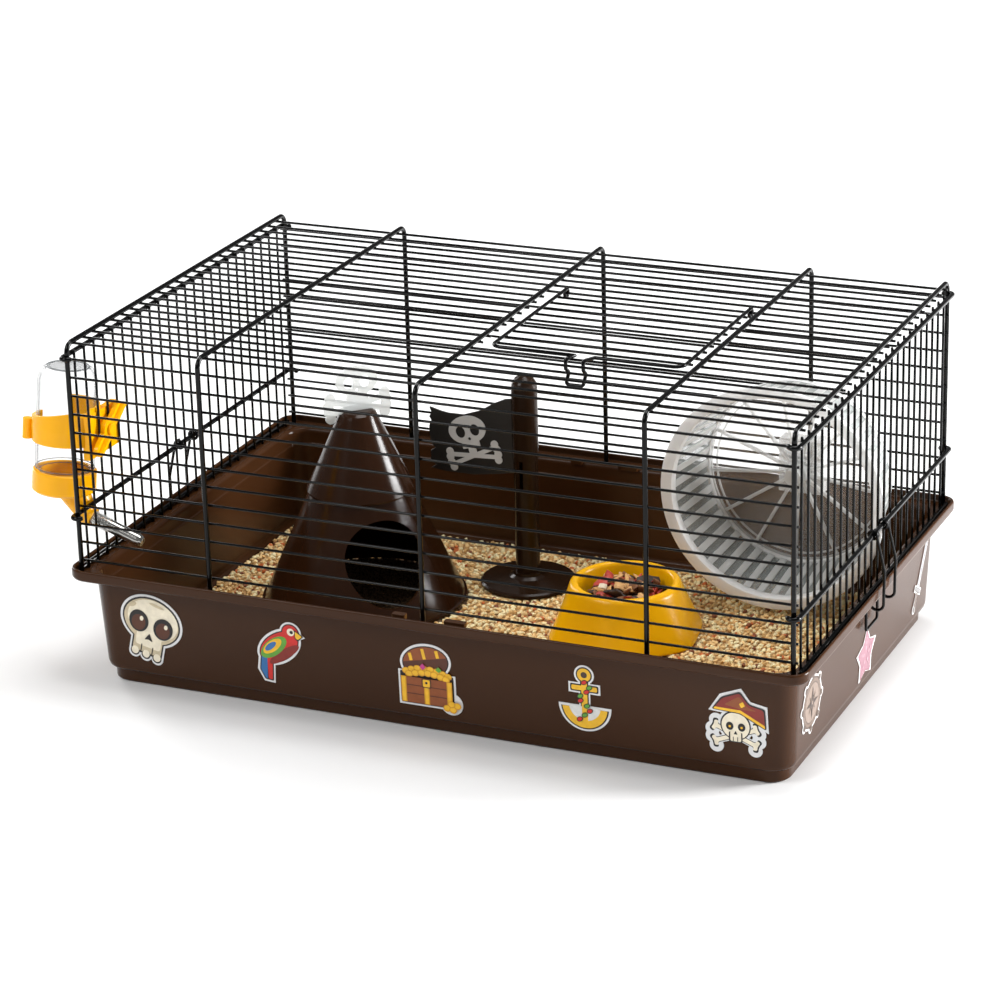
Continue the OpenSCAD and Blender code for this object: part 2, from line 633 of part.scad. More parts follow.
// Plate with two hooks over the back bars above the axle and a rest against the one below
module wheel_bracket() {
  y0 = wheel_c[1] + wheel_w + disc_t + 1.2;
  y1 = row_y - bar_r - 0.3;
  bar_z = row_z + 2 * row_pitch;
  color([0.92, 0.94, 0.96]) difference() {
    union() {
      translate([wheel_c[0] - 14, y0, wheel_z - 15]) cube([28, y1 - y0, 34]);
      wheel_place() translate([0, 0, wheel_w + disc_t + 0.5]) cylinder(h = 4, r = 8, $fn = 48);
      for (s = [-1, 1]) translate([wheel_c[0] + s * 9 - 2.5, y1 - 1, bar_z + bar_r + 0.4])
        cube([5, 2 * bar_r + 4.2, 2.4]);
      for (s = [-1, 1]) translate([wheel_c[0] + s * 9 - 2.5, row_y + bar_r + 0.3, bar_z - 3])
        cube([5, 2, 5]);
      translate([wheel_c[0] - 11.5, y1 - 1, bar_z + 0.4 + bar_r]) cube([23, 1, 2.4]);
    }
    wheel_place() translate([0, 0, wheel_w + disc_t]) cylinder(h = 9.7, r = axle_r - 0.02, $fn = 48);
  }
}

// Stickers: die-cut outlines laid on the tray's tapered walls
module on_front(x, z) {
  y = -rim_w / 2 + wall_top_in + (wall_foot_in - wall_top_in) * (rim_low_z - z) / (rim_low_z - foot_z - 3);
  translate([x, y - 0.12, z]) rotate([90 + front_tilt, 0, 0]) linear_extrude(height = sticker_t) children();
}
module on_right(y, z) {
  x = rim_l / 2 - wall_top_in - (wall_foot_in - wall_top_in) * (rim_low_z - z) / (rim_low_z - foot_z - 3);
  translate([x + 0.12, y, z]) rotate([0, 0, 90]) rotate([90 + side_tilt, 0, 0])
    linear_extrude(height = sticker_t) children();
}
module sticker_skull() {
  color([0.93, 0.93, 0.9]) on_front(-180.8, 39.5) rotate(-14) union() {
    translate([0, 5]) scale([1.22, 1, 1]) circle(r = 17, $fn = 64);
    translate([-11.5, -19]) square([23, 16]);
    for (m = [-1 : 1]) translate([m * 7.6, -18.6]) circle(r = 3.9, $fn = 32);
  }
}
module sticker_bird() {
  color([0.85, 0.2, 0.15]) on_front(-94.4, 36.4) union() {
    translate([-1, 4]) rotate(35) scale([1.35, 0.85, 1]) circle(r = 12, $fn = 48);
    translate([7, 14]) circle(r = 7, $fn = 48);
    polygon([[-14, 2], [-4, -4], [-5, -20], [-12, -19.4], [-16, -12]]);
    polygon([[10, 17], [16.4, 12], [10, 9]]);
  }
}
module sticker_chest() {
  color([0.6, 0.3, 0.12]) on_front(1.1, 34.4) union() {
    translate([-20, -18]) square([36, 22]);
    translate([-16, 2]) rotate(12) scale([1.25, 0.9, 1]) translate([12, 6]) circle(r = 13, $fn = 48);
    translate([13, -14]) circle(r = 7, $fn = 32);
  }
}
module sticker_anchor() {
  color([0.85, 0.75, 0.25]) on_front(96.9, 37.5) union() {
    translate([0, 14.6]) circle(r = 6, $fn = 32);
    translate([-3.4, -16]) square([6.8, 30]);
    translate([-9.6, 3]) square([19.2, 6.4]);
    translate([0, -4.6]) intersection() {
      circle(r = 16, $fn = 64);
      translate([-16, -16]) square([32, 16]);
    }
  }
}
module sticker_hat() {
  color([0.55, 0.2, 0.12]) on_front(190, 38) union() {
    translate([0, 6]) rotate(-14) polygon([[-18, -6], [-14, 6], [-3, 14], [4, 8], [14, 8.6], [18.6, -7], [0, -3]]);
    translate([-3, -3]) circle(r = 10.4, $fn = 48);
    translate([-3, -9]) crossed_bones(27, 2.8, 22);
  }
}
module sticker_compass() {
  color([0.85, 0.83, 0.8]) on_right(-99.8, 38.8) union() {
    circle(r = 16.4, $fn = 64);
    for (k = [0 : 7]) rotate(45 * k) translate([16.2, 0]) circle(r = 3, $fn = 24);
  }
}
module sticker_star() {
  color([0.95, 0.7, 0.75]) on_right(-0.2, 27) polygon([
    for (k = [0 : 9]) let (r = k % 2 == 0 ? 17.4 : 10.4, a = 90 + 36 * k) [1.1 * r * cos(a), r * sin(a)]
  ]);
}
module sticker_sword() {
  color([0.92, 0.93, 0.95]) on_right(105.1, 36.3) rotate(62) union() {
    translate([-8, -2.2]) square([36, 4.4]);
    translate([-11, -7]) square([4.4, 14]);
    translate([-20, -2]) square([12, 4]);
    translate([-21, 0]) circle(r = 3, $fn = 24);
  }
}

tray();
bedding();
u_frame(-end_x);  // end_frame_left
u_frame(-inner_x);  // inner_frame_left
u_frame(0);  // middle_frame
u_frame(inner_x);  // inner_frame_right
u_frame(end_x);  // end_frame_right
row_bars(-1);  // front_bars
row_bars(1);  // back_bars
roof_bars();
uprights(-1);  // left_uprights
cross_wire(-1, top_wire_z);  // left_top_wire
cross_wire(-1, middle_wire_z);  // left_middle_wire
rim_wire(-1);  // left_rim_wire
uprights(1);  // right_uprights
cross_wire(1, top_wire_z);  // right_top_wire
cross_wire(1, middle_wire_z);  // right_middle_wire
rim_wire(1);  // right_rim_wire
door_frame();
door_bars();
mirror([1, 0, 0]) clip();  // left_clip
clip();  // right_clip
bottle();
bottle_cap();
cap_seal();
tube_sleeve();
drinking_tube();
tube_ball();
bottle_holder();
holder_lock();
house_base();
house_roof();
house_emblem();
mast_foot();
mast_lower();
mast_upper();
mast_flag();
flag_badge();
bowl();
food();
wheel_drum();
wheel_disc();
wheel_axle();
axle_cap();
wheel_bracket();
sticker_skull();
sticker_bird();
sticker_chest();
sticker_anchor();
sticker_hat();
sticker_compass();
sticker_star();
sticker_sword();
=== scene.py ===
import json
import math

import bpy
import numpy as np
from mathutils import Matrix, Vector, noise
from mathutils.geometry import tessellate_polygon


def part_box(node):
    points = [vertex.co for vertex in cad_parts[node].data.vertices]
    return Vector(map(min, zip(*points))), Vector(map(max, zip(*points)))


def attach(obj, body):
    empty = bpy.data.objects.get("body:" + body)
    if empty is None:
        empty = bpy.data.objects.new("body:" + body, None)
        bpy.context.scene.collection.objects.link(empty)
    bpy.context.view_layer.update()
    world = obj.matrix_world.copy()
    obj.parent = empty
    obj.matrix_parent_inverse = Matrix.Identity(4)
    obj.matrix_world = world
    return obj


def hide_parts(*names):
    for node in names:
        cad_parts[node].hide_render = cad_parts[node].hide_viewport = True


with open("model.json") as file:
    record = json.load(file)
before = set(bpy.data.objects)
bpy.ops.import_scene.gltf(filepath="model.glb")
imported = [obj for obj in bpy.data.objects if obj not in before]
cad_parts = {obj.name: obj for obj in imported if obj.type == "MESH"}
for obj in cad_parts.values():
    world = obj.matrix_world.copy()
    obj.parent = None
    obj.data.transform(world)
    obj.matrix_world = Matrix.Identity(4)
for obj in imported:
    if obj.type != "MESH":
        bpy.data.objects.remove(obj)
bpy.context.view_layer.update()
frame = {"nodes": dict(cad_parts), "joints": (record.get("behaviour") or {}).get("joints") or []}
MM = 0.001
joints = {j["name"]: j for j in frame["joints"]}


def mm(node):
    """A node's box in mm."""
    lo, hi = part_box(node)
    return np.array(lo) / MM, np.array(hi) / MM


def at(joint):
    return np.array(joints[joint]["pos_m"]) / MM


# ---------------------------------------------------------------- materials
PLASTIC_IOR = 1.46
MILKY_DEPTH = (0.004, 0.004, 0.004)
WARM_DEPTH = (0.004, 0.002, 0.001)


def lin(r, g, b):
    """Linear colour from 8-bit sRGB."""
    f = lambda v: v / 255 / 12.92 if v <= 10 else ((v / 255 + 0.055) / 1.055) ** 2.4
    return (f(r), f(g), f(b))


def material(name, rgb, rough=0.35, var=0.12, vscale=60, rvar=0.06, bump=0.0, bscale=900,
             metal=0.0, spec=0.5, alpha=1.0, sss=0.0, veil=None, edge=0.0):
    """Principled surface with mottled colour and roughness.

    var and vscale mottle the colour, rvar the roughness, bump and bscale the surface. For see-through
    plastic, veil is its opacity face on and edge on, and edge is where the growth starts.
    """
    m = bpy.data.materials.new(name)
    m.use_nodes = True
    nt = m.node_tree
    b = nt.nodes["Principled BSDF"]
    new, link = nt.nodes.new, nt.links.new
    place = new("ShaderNodeTexCoord")

    def grain(scale, detail):
        n = new("ShaderNodeTexNoise")
        n.inputs["Scale"].default_value = scale
        n.inputs["Detail"].default_value = detail
        link(place.outputs["Object"], n.inputs["Vector"])
        return n.outputs["Fac"]

    fac = grain(vscale, 5)
    ramp = new("ShaderNodeValToRGB")
    for stop, position, k in zip(ramp.color_ramp.elements, (0.3, 0.7), (1 - var, 1 + var)):
        stop.position = position
        stop.color = (*[min(1, c * k) for c in rgb], 1)
    link(fac, ramp.inputs["Fac"])
    link(ramp.outputs["Color"], b.inputs["Base Color"])
    fac = grain(vscale * 2.3, 3)
    spread = new("ShaderNodeMapRange")
    spread.inputs["To Min"].default_value = max(0.01, rough - rvar)
    spread.inputs["To Max"].default_value = rough + rvar
    link(fac, spread.inputs["Value"])
    link(spread.outputs["Result"], b.inputs["Roughness"])
    if bump:
        fac = grain(bscale, 2)
        uneven = new("ShaderNodeBump")
        uneven.inputs["Strength"].default_value = bump
        uneven.inputs["Distance"].default_value = 0.0002
        link(fac, uneven.inputs["Height"])
        link(uneven.outputs["Normal"], b.inputs["Normal"])
    if veil:
        slant = new("ShaderNodeLayerWeight")
        slant.inputs["Blend"].default_value = 0.35
        opacity = new("ShaderNodeMapRange")
        opacity.inputs["From Min"].default_value = edge
        opacity.inputs["To Min"].default_value, opacity.inputs["To Max"].default_value = veil
        link(slant.outputs["Facing"], opacity.inputs["Value"])
        link(opacity.outputs["Result"], b.inputs["Alpha"])
    for socket, value in (("Metallic", metal), ("Specular IOR Level", spec), ("IOR", PLASTIC_IOR),
                          ("Alpha", alpha), ("Subsurface Weight", sss)):
        b.inputs[socket].default_value = value
    if sss:
        b.inputs["Subsurface Radius"].default_value = MILKY_DEPTH if veil else WARM_DEPTH
        b.inputs["Subsurface Scale"].default_value = 1.0
    return m


# each row: name, colour, roughness, mottling and its scale, spread of roughness, bump and its scale
M = {
    "tray": material("tray_plastic", lin(60, 35, 17), 0.24, 0.07, 9, 0.04, 0.05, 1400, spec=0.2),
    "house": material("house_plastic", lin(43, 23, 10), 0.17, 0.07, 14, 0.03, 0.03, 1500, spec=0.24),
    "mast": material("mast_plastic", lin(36, 22, 12), 0.2, 0.08, 20, 0.04, 0.04, 1500, spec=0.22),
    "wire": material("wire_enamel", lin(2, 2, 2), 0.11, 0.3, 160, 0.03, spec=0.24),
    "steel": material("tube_steel", (0.46, 0.45, 0.43), 0.18, 0.04, 120, 0.03, metal=1.0),
    "orange": material("orange_plastic", lin(255, 180, 2), 0.22,
                       0.04, 40, 0.04, 0.05, 1200, spec=0.3, sss=0.12),
    "yellow": material("yellow_plastic", lin(242, 178, 2), 0.24,
                       0.04, 30, 0.04, 0.05, 1200, spec=0.35, sss=0.1),
    "clear": material("clear_plastic", lin(92, 98, 100), 0.05, 0.04, 40, 0.02, veil=(0.04, 0.95), edge=0.42),
    "rim": material("clear_edge", lin(112, 118, 120), 0.1, 0.05, 60, 0.03, veil=(0.4, 0.9)),
    "sleeve": material("sleeve_plastic", lin(198, 200, 196), 0.1,
                       0.05, 60, 0.03, veil=(0.14, 0.85), edge=0.3),
    "seal": material("seal_rubber", lin(250, 196, 104), 0.6, 0.05, 80, 0.05, 0.1, 900),
    "frost": material("emblem_plastic", lin(238, 242, 241), 0.35, 0.03, 60, 0.05, 0.06, 900, alpha=0.62),
    "drum": material("drum_plastic", lin(253, 254, 252), 0.32,
                     0.03, 40, 0.05, 0.05, 900, sss=0.7, veil=(0.8, 1.0)),
    "slat": material("slat_plastic", lin(244, 245, 243), 0.32,
                     0.03, 40, 0.05, 0.05, 900, sss=0.7, veil=(0.55, 0.85)),
    "pane": material("pane_plastic", lin(170, 176, 174), 0.3, 0.05, 40, 0.05, 0.04, 900, veil=(0.26, 0.6)),
    "disc": material("disc_plastic", lin(214, 206, 198), 0.16, 0.05, 40, 0.05, veil=(0.15, 0.5)),
    "rib": material("rib_plastic", lin(236, 238, 238), 0.3,
                    0.03, 40, 0.05, 0.04, 900, sss=0.7, veil=(0.45, 0.75)),
    "flag": material("flag_plastic", lin(36, 34, 32), 0.42, 0.14, 30, 0.06, 0.15, 900),
    "badge": material("badge_print", lin(206, 206, 204), 0.5, 0.06, 60, 0.05, 0.1, 900),
    # bed: the sheet seen between the chips, darker than most of them as painted shade in the gaps
    "bed": material("bedding_base", lin(186, 148, 98), 0.85, 0.3, 420, 0.05, 0.6, 500),
    "cob1": material("cob_pale", lin(252, 232, 184), 0.8, 0.12, 500, 0.05, 0.4, 2500),
    "cob2": material("cob_beige", lin(240, 204, 144), 0.8, 0.14, 500, 0.05, 0.4, 2500),
    "cob3": material("cob_tan", lin(214, 170, 108), 0.8, 0.16, 500, 0.05, 0.4, 2500),
    "cob4": material("cob_orange", lin(204, 112, 60), 0.8, 0.16, 500, 0.05, 0.4, 2500),
    "cob5": material("cob_brown", lin(140, 84, 56), 0.8, 0.2, 500, 0.05, 0.4, 2500),
    # painted shade: the dark bedding inside the house, and a painted contact shadow round its foot
    "shade": material("cob_painted_shade", lin(92, 68, 44), 0.85, 0.3, 420, 0.05, 0.6, 900),
    "red": material("dried_red", lin(178, 60, 46), 0.45, 0.35, 260, 0.1, 0.7, 700),
    "rust": material("dried_rust", lin(120, 76, 44), 0.55, 0.3, 260, 0.1, 0.7, 700),
    "oat": material("dried_oat", lin(208, 160, 102), 0.7, 0.18, 300, 0.1, 0.6, 700),
    "dark": material("dried_dark", lin(52, 38, 30), 0.5, 0.3, 260, 0.1, 0.6, 700),
    "white": material("dried_white", lin(226, 212, 186), 0.7, 0.1, 300, 0.1, 0.5, 700),
    "film": material("sticker_film", lin(226, 226, 226), 0.4, 0.03, 60, 0.05, 0.04, 900),
}


def ink(rgb):
    """Printed colour of a sticker, made once."""
    name = "ink_%02x%02x%02x" % rgb
    if name not in bpy.data.materials:
        material(name, lin(*rgb), 0.38, 0.09, 260, 0.05, 0.06, 1500)
    return bpy.data.materials[name]


def dress(node, key):
    """Puts a material on a CAD node that is shown as it is."""
    o = frame["nodes"][node]
    o.data.materials.clear()
    o.data.materials.append(M[key])


for key, names in {
    "house": "house_base house_roof",
    "mast": "mast_foot mast_lower mast_upper",
    "orange": "bottle_cap bottle_holder holder_lock",
    "clear": "bottle",
    "sleeve": "tube_sleeve",
    "seal": "cap_seal",
    "steel": "drinking_tube tube_ball wheel_axle",
    "frost": "house_emblem",
    "rib": "axle_cap wheel_bracket",
    "flag": "mast_flag",
    "badge": "flag_badge",
    "film": " ".join(n for n in frame["nodes"] if n.startswith("sticker_")),
}.items():
    for n in names.split():
        dress(n, key)


# ---------------------------------------------------------------- mesh helpers
class Mesh:
    """Parts of one piece, collected in mm and built as one mesh."""

    def __init__(self):
        self.v, self.f, self.m = [], [], []
        self.n = 0

    def add(self, v, f, slot=0):
        v = np.asarray(v, float)
        self.v.append(v)
        self.f += [tuple(i + self.n for i in q) for q in f]
        self.m += [slot] * len(f)
        self.n += len(v)
        return self

    def build(self, name, mats, body, replaces=(), slot=None, sharp=35, flat=False):
        """The piece, riding on a body and standing in for the CAD nodes that it replaces."""
        me = bpy.data.meshes.new(name)
        me.from_pydata((np.concatenate(self.v) * MM).tolist(), [], self.f)
        me.polygons.foreach_set("material_index", self.m)
        me.update()
        for k in mats:
            me.materials.append(M[k] if isinstance(k, str) else k)
        if not flat:
            me.shade_smooth()
            me.set_sharp_from_angle(angle=math.radians(sharp))
        o = bpy.data.objects.new(name, me)
        bpy.context.scene.collection.objects.link(o)
        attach(o, body)
        if replaces:
            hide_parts(*replaces)
        return o


def spot(matrix, v):
    """Points carried by a matrix."""
    return v @ np.array(matrix.to_3x3()).T + np.array(matrix.translation)


def unit(v):
    return np.asarray(v, float) / np.linalg.norm(v)


def arc(c, u, v, r, a, b, n):
    """Points round c in the plane of u and v, from angle a to b in degrees."""
    c, u, v = (np.asarray(q, float) for q in (c, u, v))
    return [c + r * (u * math.cos(t) + v * math.sin(t)) for t in np.radians(np.linspace(a, b, n + 1))]


def rounded(p, r, n):
    """An open path in space with every corner rounded to radius r, in n steps."""
    p = [np.asarray(q, float) for q in p]
    out = [p[0]]
    for i in range(1, len(p) - 1):
        a, b = unit(p[i - 1] - p[i]), unit(p[i + 1] - p[i])
        w = math.acos(np.clip(a @ b, -1, 1))
        d = r / math.tan(w / 2)
        c = p[i] + unit(a + b) * r / math.sin(w / 2)
        s, e = p[i] + a * d - c, p[i] + b * d - c
        t = math.pi - w
        out += [c + (s * math.sin(t * (1 - k / n)) + e * math.sin(t * k / n)) / math.sin(t)
                for k in range(n + 1)]
    return out + [p[-1]]


def loft(rings, closed=False):
    """Faces over rings of equal count."""
    k = len(rings[0])
    v = np.concatenate(rings)
    f = []
    for i in range(len(rings) - (0 if closed else 1)):
        a, b = i * k, ((i + 1) % len(rings)) * k
        f += [(a + j, a + (j + 1) % k, b + (j + 1) % k, b + j) for j in range(k)]
    if not closed:
        f += [tuple(range(k - 1, -1, -1)), tuple((len(rings) - 1) * k + j for j in range(k))]
    return v, f


def tube(path, d, sides=16, ends=True):
    """Round wire along a path, with softly rounded ends."""
    p = [np.asarray(q, float) for q in path]
    p = [p[0]] + [q for a, q in zip(p, p[1:]) if np.linalg.norm(q - a) > 1e-4]
    rad = [d / 2] * len(p)
    if ends:
        e = d * 0.16
        a, b = unit(p[1] - p[0]), unit(p[-2] - p[-1])
        p = [p[0], p[0] + a * e * 0.35, p[0] + a * e] + p[1:-1] + [p[-1] + b * e, p[-1] + b * e * 0.35, p[-1]]
        rad = [d * 0.3, d * 0.43, d / 2] + rad[1:-1] + [d / 2, d * 0.43, d * 0.3]
    tan = [unit(p[1] - p[0])]
    for i in range(1, len(p) - 1):
        tan.append(unit(unit(p[i + 1] - p[i]) + unit(p[i] - p[i - 1])))
    tan.append(unit(p[-1] - p[-2]))
    n = unit(np.cross([0, 0, 1] if abs(tan[0][2]) < 0.9 else [1, 0, 0], tan[0]))
    rings = []
    ang = np.linspace(0, 2 * math.pi, sides, endpoint=False)
    for q, t, r in zip(p, tan, rad):
        n = unit(n - t * (n @ t))
        b = np.cross(t, n)
        rings.append(q + r * (np.outer(np.cos(ang), n) + np.outer(np.sin(ang), b)))
    return loft(rings)


def bead(c, r):
    """Small weld bead with radii r."""
    v, f = [], []
    for i in range(1, 5):
        for j in range(8):
            a, b = math.pi * i / 5, math.pi * j / 4
            v.append([c[0] + r[0] * math.sin(a) * math.cos(b), c[1] + r[1] * math.sin(a) * math.sin(b),
                      c[2] + r[2] * math.cos(a)])
    for i in range(3):
        f += [(8 * i + j, 8 * i + 8 + j, 8 * i + 8 + (j + 1) % 8, 8 * i + (j + 1) % 8) for j in range(8)]
    f += [tuple(range(8)), tuple(range(31, 23, -1))]
    return v, f


def circle(r, z, n, x=0.0, y=0.0):
    """A ring of n points at height z; r is one radius, or one for each point."""
    a = np.linspace(0, 2 * math.pi, n, endpoint=False)
    return np.column_stack([x + r * np.cos(a), y + r * np.sin(a), np.full(n, z)])


def lathe(profile, n, matrix):
    """Turned body round Z, placed by a matrix; the profile is a closed outline of (radius, height)."""
    v, f = loft([circle(r, z, n) for r, z in profile], closed=True)
    return spot(matrix, v), f


def soften(points, r, n=3, closed=True):
    """Rounds every corner of a 2-D outline by up to r. Further columns are carried along."""
    p = [np.asarray(q, float) for q in points]
    k = len(p)
    out = []
    for i in range(k):
        if not closed and i in (0, k - 1):
            out.append(p[i])
            continue
        a, b, c = p[i - 1], p[i], p[(i + 1) % k]
        la, lc = np.linalg.norm((a - b)[:2]), np.linalg.norm((c - b)[:2])
        d = min(r, la * 0.45, lc * 0.45)
        s, e = b + (a - b) * d / la, b + (c - b) * d / lc
        for t in np.linspace(0, 1, n + 1):
            out.append((1 - t) ** 2 * s + 2 * t * (1 - t) * b + t * t * e)
    return out


# ---------------------------------------------------------------- tray
T0, T1 = mm("tray")
RIM_L, RIM_W, RIM_Z = T1[0] - T0[0], T1[1] - T0[1], T1[2]
SHELF_Z = 70.5       # the ledge inside the rim, on which the wires stand
WALL_TOP = 67.3      # where the outer wall meets the rim
WALL_IN = 9.8        # how far the outer wall's top is inside the rim
WALL_H, WALL_TAPER = 56.1, 2.7
LUGS = ((-21.5, -13.5), (11, 24))


def rect_ring(inset, r, z, n=14):
    """The rim's rectangle moved in by inset, with corners of radius r."""
    out = []
    for q in range(4):
        for i in range(n + 1):
            a = math.radians(90 * q + 90 * i / n)
            cx = (1 if q in (0, 3) else -1) * (RIM_L / 2 - inset - r)
            cy = (1 if q < 2 else -1) * (RIM_W / 2 - inset - r)
            out.append([cx + r * math.cos(a), cy + r * math.sin(a), z])
    return np.array(out)


def tray():
    m = Mesh()
    # each row: inset from the rim's edge, height, corner radius
    foot = [(17.4, 0, 11), (16.1, 0.9, 12.4), (15.8, 7.8, 13), (14.3, 8.3, 13.2), (13, 9.6, 13.8)]
    wall = [(12.4, 12, 14), (WALL_IN, 66.4, 14.2), (9.1, WALL_TOP, 14.2)]
    rim = [(2.2, WALL_TOP, 11), (0.6, 68.1, 10.8), (0.02, 69.6, 10.8), (0.02, 73.6, 10.8), (0.4, 74.4, 10.6),
           (0.9, RIM_Z, 10.2), (1.5, RIM_Z, 9.8), (1.9, 74.1, 9.6), (2.1, 70.8, 9.4)]
    shelf = [(2.8, SHELF_Z, 9.6), (9.6, SHELF_Z, 13.4), (11.2, 69.9, 12.9), (12, 68.2, 12.4)]
    inner = [(12.1, 66.6, 12.4), (12.35, 60.4, 12.3), (12.9, 59.9, 12.2), (13, 59.4, 12.2),
             (14.6, 12.6, 12.2)]
    floor = [(15.5, 10.4, 12), (16.8, 10, 11.6), (17.9, 9.5, 11.2), (18.1, 8.2, 11), (18.5, 3, 10.8),
             (19.5, 2, 10.4)]
    rows = foot + wall + rim + shelf + inner + floor
    rows = soften([np.array(r) for r in rows], 0.5, 2, False)
    v, f = loft([rect_ring(i, r, z) for i, z, r in rows])
    m.add(v, f)
    # small lugs that hold the wires on the shelf
    for side in (-1, 1):
        for x0, x1 in LUGS:
            y = side * (RIM_W / 2 - 12.2)
            box = soften([(x0, y - 2.2), (x1, y - 2.2), (x1, y + 2.2), (x0, y + 2.2)], 1, 3)
            m.add(*loft([np.array([[a, b, z] for a, b in box]) for z in (69.4, 71.9, 72.3)]))
    return m.build("tray_shell", ["tray"], "cage", ["tray"], "brown_plastic", 28)


tray()

# ---------------------------------------------------------------- wires
F0, F1 = mm("middle_frame")
THICK = F1[0] - F0[0]
LEG = F1[1] - THICK / 2
ROOF = F1[2] - THICK / 2
SHELF = F0[2]
B0, B1 = mm("front_bars")
BAR = B1[1] - B0[1]
ROW_Y = (B0[1] + B1[1]) / 2
ROWS = np.linspace(B0[2] + BAR / 2, B1[2] - BAR / 2, 12)
R0, R1 = mm("roof_bars")
RBZ = (R0[2] + R1[2]) / 2
RBY = np.linspace(R0[1] + BAR / 2, R1[1] - BAR / 2, 24)
FRAMES = {n: (mm(n)[0][0] + mm(n)[1][0]) / 2 for n in
          ("end_frame_left", "inner_frame_left", "middle_frame", "inner_frame_right", "end_frame_right")}
_, HY, HZ = at("roof_door_hinge")
D0, D1 = mm("door_bars")
DOOR_BARS = range(7, 16)              # the roof rows that the door's opening cuts
DOOR_FROM, DOOR_TO = 2.4, 135.2       # the opening's ends along the cage
WELD_LONG, WELD_WIDE, WELD_HIGH = 1.25, 1.05, 0.75
WELD_OUT = BAR * 0.42


def bars(node, ends, body="cage"):
    """The straight thin bars of a node, each given by its two ends."""
    m = Mesh()
    for a, b in ends:
        m.add(*tube([a, b], BAR, 14))
    m.build(node + "_wire", ["wire"], body, [node], "black_wire", 40)


def cross_wire(node, path, x, z):
    """A thick wire across an end, with a weld at every upright."""
    m = Mesh().add(*tube(path, THICK, 20))
    for y in RBY:
        m.add(*bead([x, y, z], [WELD_HIGH, WELD_WIDE, WELD_LONG]))
    m.build(node + "_round", ["wire"], "cage", [node], "black_wire", 40)


def arch(node, x):
    """One of the five arches that carry the bars."""
    path = rounded([[x, -LEG, SHELF], [x, -LEG, ROOF], [x, LEG, ROOF], [x, LEG, SHELF]], 6, 10)
    m = Mesh().add(*tube(path, THICK, 20))
    for z in ROWS:
        for s in (-1, 1):
            m.add(*bead([x, s * (abs(ROW_Y) + WELD_OUT), z], [WELD_LONG, WELD_HIGH, WELD_WIDE]))
    for y in RBY:
        m.add(*bead([x, y, RBZ + WELD_OUT], [WELD_LONG, WELD_WIDE, WELD_HIGH]))
    m.build(node + "_wire", ["wire"], "cage", [node], "black_wire", 40)


def roof_bars():
    ends = []
    for k, y in enumerate(RBY):
        x = [R0[0], DOOR_FROM, DOOR_TO, R1[0]] if k in DOOR_BARS else [R0[0], R1[0]]
        ends += [([a, y, RBZ], [b, y, RBZ]) for a, b in zip(x[::2], x[1::2])]
    bars("roof_bars", ends)


def cage_end(side, s):
    """The uprights and the three cross wires of the left or right end."""
    lo, hi = mm(side + "_uprights")
    x = (lo[0] + hi[0]) / 2
    bars(side + "_uprights", [([x, y, lo[2]], [x, y, hi[2]]) for y in RBY])
    weld_x = s * (abs(x) + WELD_OUT)
    frame_x = FRAMES["end_frame_" + side]
    for part in ("top", "middle"):
        node = f"{side}_{part}_wire"
        lo, hi = mm(node)
        z = (lo[2] + hi[2]) / 2
        front = arc([frame_x, -LEG, z], [s, 0, 0], [0, -1, 0], THICK + 0.05, 165, 0, 14)
        rear = arc([frame_x, LEG, z], [s, 0, 0], [0, 1, 0], THICK + 0.05, 0, 165, 14)
        cross_wire(node, front + rear, weld_x, z)
    node = side + "_rim_wire"
    lo, hi = mm(node)
    x, z = (lo[0] + hi[0]) / 2, (lo[2] + hi[2]) / 2
    cross_wire(node, [[x, lo[1], z], [x, hi[1], z]], weld_x, z)


for n, x in FRAMES.items():
    arch(n, x)
for n, s in (("front_bars", -1), ("back_bars", 1)):
    y = s * abs(ROW_Y)
    bars(n, [([B0[0], y, z], [B1[0], y, z]) for z in ROWS])
roof_bars()
cage_end("left", -1)
cage_end("right", 1)


def door():
    """The door's wire: a hinge loop, a side, the front with its bent tongue, a side and a loop."""
    lo, hi = mm("door_frame")
    d, loop, reach, drop = 2.2, 2.5, 6.6, 15.6
    c0, c1 = 61.2, 71.8                   # the tongue's two sides along the cage
    zt = hi[2] - d / 2
    xl, xr = lo[0] + d / 2, hi[0] - d / 2
    y = RBY[6]
    oy = y - reach
    loop_l = arc([xl, HY, HZ], [0, 1, 0], [0, 0, 1], loop, -190, 80, 22)
    loop_r = arc([xr, HY, HZ], [0, 1, 0], [0, 0, 1], loop, 80, -190, 22)
    left = rounded([[xl, HY - 1, zt], [xl, y, zt], [c0 + 1.5, y, zt]], 6, 8)
    tongue = rounded([[c0 + 3, y, zt], [c0, oy, zt - 0.3], [c0 - 0.2, oy, zt - 6],
                      [c0 + 0.6, oy + 3.1, zt - 9], [c0 - 0.4, oy + 0.4, zt - drop],
                      [c1 - 0.4, oy + 0.4, zt - drop], [c1 + 0.4, oy + 3.1, zt - 9],
                      [c1, oy, zt - 6], [c1, oy, zt - 0.3], [c1 + 4.4, y, zt]], 1.8, 5)
    right = rounded([[c1 + 6.5, y, zt], [xr, y, zt], [xr, HY - 1, zt]], 6, 8)
    m = Mesh().add(*tube(loop_l + left + tongue + right + loop_r, d, 16))
    for k in DOOR_BARS:
        for x in (xl, xr):
            m.add(*bead([x, RBY[k], zt - d / 2], [1.1, 1.0, 0.6]))
    m.build("door_frame_wire", ["wire"], "roof_door", ["door_frame"], "black_wire", 40)
    z = (D0[2] + D1[2]) / 2
    bars("door_bars", [([D0[0], RBY[k], z], [D1[0], RBY[k], z]) for k in DOOR_BARS], "roof_door")


door()


